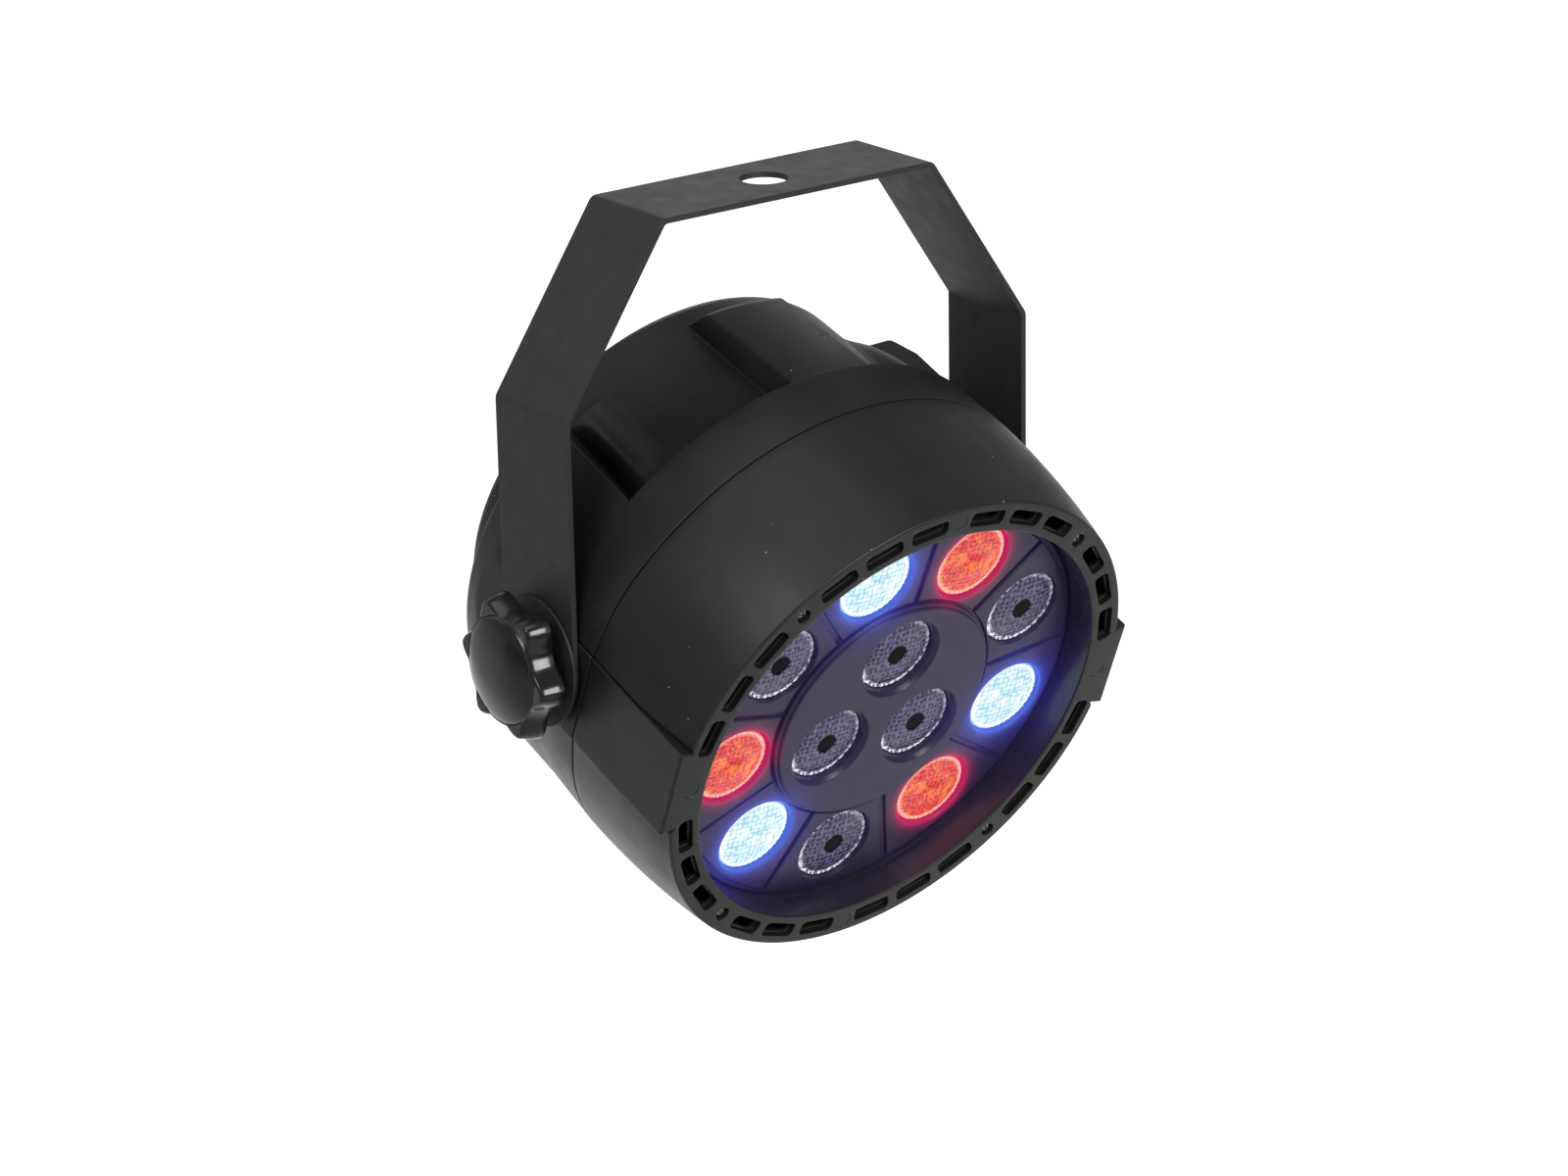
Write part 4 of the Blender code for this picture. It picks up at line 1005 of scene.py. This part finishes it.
def knob_outline(turn, shrink=0.0):
    """Six lobes with round tips and wide hollows between them."""
    points = []
    for i in range(KNOB_STEPS):
        angle = tau * i / KNOB_STEPS
        points.append(polar(KNOB_ROOT + KNOB_LOBE * ((1 + cos(6 * angle)) / 2) ** 1.25, angle + turn))
    return offset(points, -shrink)


def make_clamp(side, turn):
    """A knob moulded round its threaded stud, and the washer under it."""
    axes = SIDES[side]
    hub = [(0.6, 81.5), (4.2, 81.5), (4.2, 74.9), (8.7, 74.9), (9, 75.2), (9, 77.5), (9.4, 77.8), (9.9, 77.9)]
    lobes = [(0.9, 77.9), (0.35, 77.98), (0.08, 78.2), (0, 78.6), (0.18, 80), (0.55, 81.8), (1.0, 83.4)]
    lobes += [(1.2, 84), (1.35, 84.35), (1.6, 84.62), (1.9, 84.74), (2.2, 84.76)]
    disc = [(14.35, 84.78), (14.12, 84.66), (13.98, 84.55), (13.85, 84.72), (13.7, 84.98), (13.4, 85.2)]
    disc += [(12.4, 85.6), (11, 86.05), (9.2, 86.5), (7, 86.95), (4.8, 87.25), (2.4, 87.44), (0.8, 87.5)]
    outline = knob_outline(turn)
    rings = [level(like(outline, radius), z) for radius, z in hub]
    rings += [level(knob_outline(turn, shrink), z) for shrink, z in lobes]
    rings += [level(like(outline, radius), z) for radius, z in disc]
    knob = Surface()
    first, last = knob.strips(*rings)
    knob.fan(first, (0, 0, hub[0][1]))
    knob.fan(last, (0, 0, disc[-1][1]))
    knob = bake(knob.object(f"{side}_knob_moulding", axes), 50)
    finish(knob, knob_black, f"{side}_knob", f"{side}_knob")

    stud = [(0, 81.2), (3.2, 81.2), (3.6, 80.9)]
    for i in range(int((THREAD_TOP - THREAD_END) / THREAD_STEP)):
        z = THREAD_TOP - THREAD_STEP * i
        stud += [(3.9, z), (3.9, z - 0.12), (3.45, z - 0.31), (3.45, z - 0.38)]
    stud += [(3.4, 59.2), (3.2, 59), (0, 59)]
    stud = bake(turned(f"{side}_stud_thread", stud, axes, 48))
    finish(stud, stud_metal, f"{side}_knob", f"{side}_stud")
    bore = PIVOT_HOLE_RADIUS
    washer = [(16.6, 74.6), (16.83, 74.5), (16.9, 74.3), (16.9, 73.9), (16.83, 73.7), (16.6, 73.6)]
    washer += [(bore + 0.2, 73.6), (bore, 73.8), (bore, 74.4), (bore + 0.2, 74.6)]
    washer += [(11.4, 74.6), (11.55, 74.48), (12.05, 74.48), (12.2, 74.6)]
    washer = bake(turned(f"{side}_washer_disc", washer, axes, 96))
    finish(washer, nylon, f"{side}_washer", f"{side}_washer")


# ---------------- rear panel


def make_rear_panel():
    """The round panel, with openings for what it carries, and the smoked window of its display."""
    outlines = [circle(PANEL_RADIUS), rectangle(DISPLAY_SIZE, DISPLAY_CENTRE, 0.6)]
    outlines += [rectangle((27.6, 20.6), INLET_CENTRE, 0.8), circle(1.2, 24, MICROPHONE_CENTRE)]
    outlines += [circle(3.3, 32, (x, BUTTON_HEIGHT)) for x in BUTTONS.values()]
    outlines += [circle(9.9, 64, centre) for centre in SOCKET_CENTRES.values()]
    outlines += [circle(1.6, 24, place) for place in PANEL_SCREWS]
    panel = extruded("rear_panel_plate", outlines, REAR_Z, LEDGE_Z - GAP, HOUSING, 0.2)
    on_housing(panel, shell_black, "rear_panel")
    pane = rectangle([length - 2 * GAP for length in DISPLAY_SIZE], DISPLAY_CENTRE, 0.6)
    window = extruded("display_pane", [pane], -51.1, -49.5, HOUSING, 0.2)
    on_housing(window, smoked, "display_window")


def make_buttons():
    profile = [(0, -46.4), (1.9, -46.4), (2, -46.5), (2, -48.3), (4.1, -48.3), (4.2, -48.4), (4.2, -49.2)]
    profile += [(4.1, -49.3), (3, -49.3), (3, -52.2), (2.9, -52.5), (2.65, -52.72), (2.2, -52.8)]
    profile += [(1.2, -52.68), (0.5, -52.62), (0, -52.62)]
    for name, x in BUTTONS.items():
        button = turned(f"{name}_cap", profile, at(HOUSING, (x, BUTTON_HEIGHT)), 48)
        finish(bake(button), button_plastic, name, name)


def metal_behind(piece, z):
    """Makes what stands out behind z of contact metal, and leaves the rest of the piece as it is."""
    recolour(piece, contact_metal, lambda middle: middle.z < z * MM)


def make_sockets():
    """A three-pin data inlet, and a three-hole data outlet with a latch that pushes in."""
    barrel = [(0, -32), (9.6, -32), (9.6, -51.6), (12.8, -51.6), (13, -51.8), (13, -53.1), (12.9, -53.3)]
    barrel += [(12.7, -53.4), (8.9, -53.4), (8.7, -53.5)]
    cup = [(8.35, -53.45), (8.1, -53.2), (8, -52.9), (8, -38), (0, -38)]
    place = at(HOUSING, SOCKET_CENTRES["dmx_in"])
    socket = turned("dmx_in_shell", barrel + cup, place, 96)
    join(socket, block("key", (-1.1, 6.9, -52.6), (1.1, 8.3, -38.2), place))
    on_housing(socket, dark, "dmx_in_socket")
    base = [(0, -38.3), (7.5, -38.3), (7.6, -38.4), (7.6, -40.9), (7.5, -41), (0, -41)]
    insert = turned("dmx_in_pins", base, place, 64)
    pin = [(0, -40), (1.15, -40), (1.15, -50.3), (1.0, -50.7), (0.6, -50.95), (0, -51)]
    join(insert, *[turned(f"pin_{i}", pin, at(place, spot), 24) for i, spot in enumerate(PIN_PLACES)])
    metal_behind(on_housing(insert, dark, "dmx_in_insert"), -41.05)

    place = at(HOUSING, SOCKET_CENTRES["dmx_out"])
    core = [(8.6, -53.3), (8.6, -40), (7, -40), (7, -52.3), (6.8, -52.6), (0, -52.6)]
    socket = turned("dmx_out_shell", barrel + core, place, 96)
    hole = [(0, -60), (1.5, -60), (1.5, -52.7), (1.3, -52.4), (1.3, -42), (0, -42)]
    holes = [turned(f"hole_{i}", hole, at(place, spot), 24) for i, spot in enumerate(PIN_PLACES)]
    cut(socket, *holes, block("latch_slot", (-2.9, 7.1, -60), (2.9, 10.5, -44.5), place))
    on_housing(socket, dark, "dmx_out_socket")
    latch = block("latch_lever", (-2.6, 7.4, -55), (2.6, 9.1, -46.2), place)
    soften(latch, 0.35, 3)
    finish(bake(latch), contact_metal, "dmx_out_latch", "dmx_out_latch")


def make_inlet():
    """A snap-in mains inlet with three blades."""
    place = at(HOUSING, INLET_CENTRE)
    body = extruded("power_inlet_shell", [rectangle((27, 20), corner=0.8)], -51.9, -30, place)
    flange = extruded("flange", [rectangle((31, 24), corner=2)], -53.6, -51.6, place, 0.4)
    corners = [(-11, -7.5), (11, -7.5), (11, 3.5), (7, 7.5), (-7, 7.5), (-11, 3.5)]
    cavity = rounded(corners, 0.8, 5, is_closed=True)
    join(body, flange)
    cut(body, extruded("cavity", [cavity], -60, -36, place))
    soften(body, 0.2, 2, 60)
    on_housing(body, dark, "power_inlet")
    core = extruded("power_inlet_blades", [offset(cavity, -GAP)], -38.6, -36.3, place)
    for i, spot in enumerate(BLADE_PLACES):
        join(core, extruded(f"blade_{i}", [rectangle((2, 4), spot, 0.3)], -49.5, -38, place, 0.25))
    metal_behind(on_housing(core, dark, "power_inlet_core"), -38.7)


# ---------------- studio


def make_studio():
    """A white floor far below the light, soft panels above and beside it, and a bright even surround."""
    mesh = bpy.data.meshes.new("studio_floor")
    corners = [(-1, -1), (1, -1), (1, 1), (-1, 1)]
    corners = [(x * FLOOR_HALF_SIZE, y * FLOOR_HALF_SIZE, FLOOR_HEIGHT) for x, y in corners]
    mesh.from_pydata(corners, [], [(0, 1, 2, 3)])
    white = Nodes("studio_white", (0.5, 0.5, 0.5), 0.9, specular=0.0)
    white.paint(white.mix(white.noise(400, 2), (0.48, 0.48, 0.48), (0.52, 0.52, 0.52)))
    away = white.vector("DOT_PRODUCT", white.place, FLOOR_BACK).outputs["Value"]
    beside = white.vector("DOT_PRODUCT", white.place, FLOOR_SIDE).outputs["Value"]
    spread = white.math("SUBTRACT", white.math("ABSOLUTE", beside), white.times(away, 0.19))
    glow_here = white.times(white.ramp(away, *FLOOR_GLOW), white.ramp(spread, *FLOOR_FADE))
    white.set(white.shader.inputs["Emission Strength"], glow_here)
    white.shader.inputs["Emission Color"].default_value = (1, 1, 1, 1)
    mesh.materials.append(white.material)
    add_object("studio_floor", mesh, Matrix.Identity(4))

    world = bpy.data.worlds.new("studio")
    world.use_nodes = True
    world.node_tree.nodes["Background"].inputs["Color"].default_value = (1, 1, 1, 1)
    world.node_tree.nodes["Background"].inputs["Strength"].default_value = WORLD_STRENGTH
    bpy.context.scene.world = world
    for name, place, size, power in LIGHTS:
        light = bpy.data.lights.new(name, "AREA")
        light.shape = "RECTANGLE"
        light.size, light.size_y = size
        light.energy = power
        lamp = add_object(name, light, Matrix.Translation(place))
        lamp.rotation_euler = (LIGHT_AIM - Vector(place)).to_track_quat("-Z", "Y").to_euler()


def make_camera():
    camera = bpy.data.cameras.new("camera")
    camera.lens = CAMERA_LENS
    camera.sensor_width = 36
    camera.clip_start, camera.clip_end = 0.05, 50
    turn = Matrix((CAMERA_RIGHT, CAMERA_UP, CAMERA_BACK)).transposed().to_4x4()
    bpy.context.scene.camera = add_object("camera", camera, Matrix.Translation(CAMERA_PLACE) @ turn)
    bpy.context.scene.view_settings.view_transform = "Standard"


coat = Nodes("powder_coat", (0.022, 0.022, 0.0235), 0.56, specular=0.45).vary(9, 0.10, 0.05)
coat.grain(0.42, 0.030).grain(0.16, 0.008, 1).specks(5, 0.10, 0.12)
shell_black = Nodes("moulded_black", (0.0125, 0.0128, 0.0128), 0.40, specular=0.34).vary(14, 0.14, 0.05)
shell_black.grain(0.28, 0.010).grain(2.4, 0.012, 1).specks(4.5, 0.16, 0.30)
knob_black = Nodes("gloss_black", (0.006, 0.006, 0.0065), 0.17, specular=0.55).vary(5, 0.15, 0.06)
knob_black.brushed((1, 1, 0.04), 0.22, 0.006).grain(0.9, 0.010).specks(5, 0.10, 0.25)
plate_plastic = Nodes("plate_black", (0.018, 0.016, 0.022), 0.34, specular=0.4).vary(8, 0.16, 0.05)
# Painted light: the lit lenses' glow on the lens plate.
glow(plate_plastic.grain(0.35, 0.007), 1.0)
bezel = Nodes("bezel_black", (0.024, 0.020, 0.024), 0.27).vary(6, 0.2, 0.05)
# Painted light: the lit lenses' glow on the wall round the mouth.
glow(bezel.grain(0.8, 0.02, 3), 0.55)
dark, button_plastic = [
    Nodes("dark_plastic", (0.018, 0.018, 0.019), 0.40, specular=0.45).vary(4, 0.15, 0.06).grain(0.22, 0.006)
    for _ in range(2)
]
nylon = Nodes("washer_nylon", (0.020, 0.020, 0.021), 0.55, specular=0.4).vary(3, 0.18, 0.06)
nylon.grain(0.5, 0.012, 3)
tape = Nodes("transformer_tape", (0.30, 0.20, 0.02), 0.35).vary(3, 0.2, 0.05).brushed((1, 14, 1), 8, 0.05)
sleeve = Nodes("capacitor_sleeve", (0.012, 0.018, 0.07), 0.28).vary(4, 0.2, 0.05).grain(1.2, 0.01)
smoked = smoked_window()
screw_metal = metal("screw_zinc", (0.34, 0.34, 0.33), 0.36, (1, 1, 6))
stud_metal = metal("stud_zinc", (0.55, 0.54, 0.50), 0.30, (1, 1, 8))
contact_metal = metal("contact_nickel", (0.60, 0.58, 0.53), 0.26, (8, 1, 1))
brass = metal("insert_brass", (0.62, 0.42, 0.15), 0.30, (8, 1, 1))
aluminium = metal("bare_aluminium", (0.66, 0.66, 0.67), 0.34, (1, 14, 1), 0.006)

make_camera()
make_studio()
make_yoke()
make_front_shell()
make_rear_shell()
make_lens_plate()
make_lenses()
make_screws()
make_clamp("left", radians(KNOB_TURN))
make_clamp("right", radians(60 - KNOB_TURN))
make_rear_panel()
make_buttons()
make_sockets()
make_inlet()

# What is inside the housing keeps its CAD shape.
for node, look in {
    "led_board": board_white(),
    "heat_sink": aluminium,
    "control_board": circuit_green(),
    "power_supply_board": circuit_green(),
    "transformer": tape,
    "smoothing_capacitor": sleeve,
    "display_module": display_face(),
    "microphone": aluminium,
    "left_pivot_insert": brass,
    "right_pivot_insert": brass,
}.items():
    frame["nodes"][node].data.materials.clear()
    frame["nodes"][node].data.materials.append(look.material)
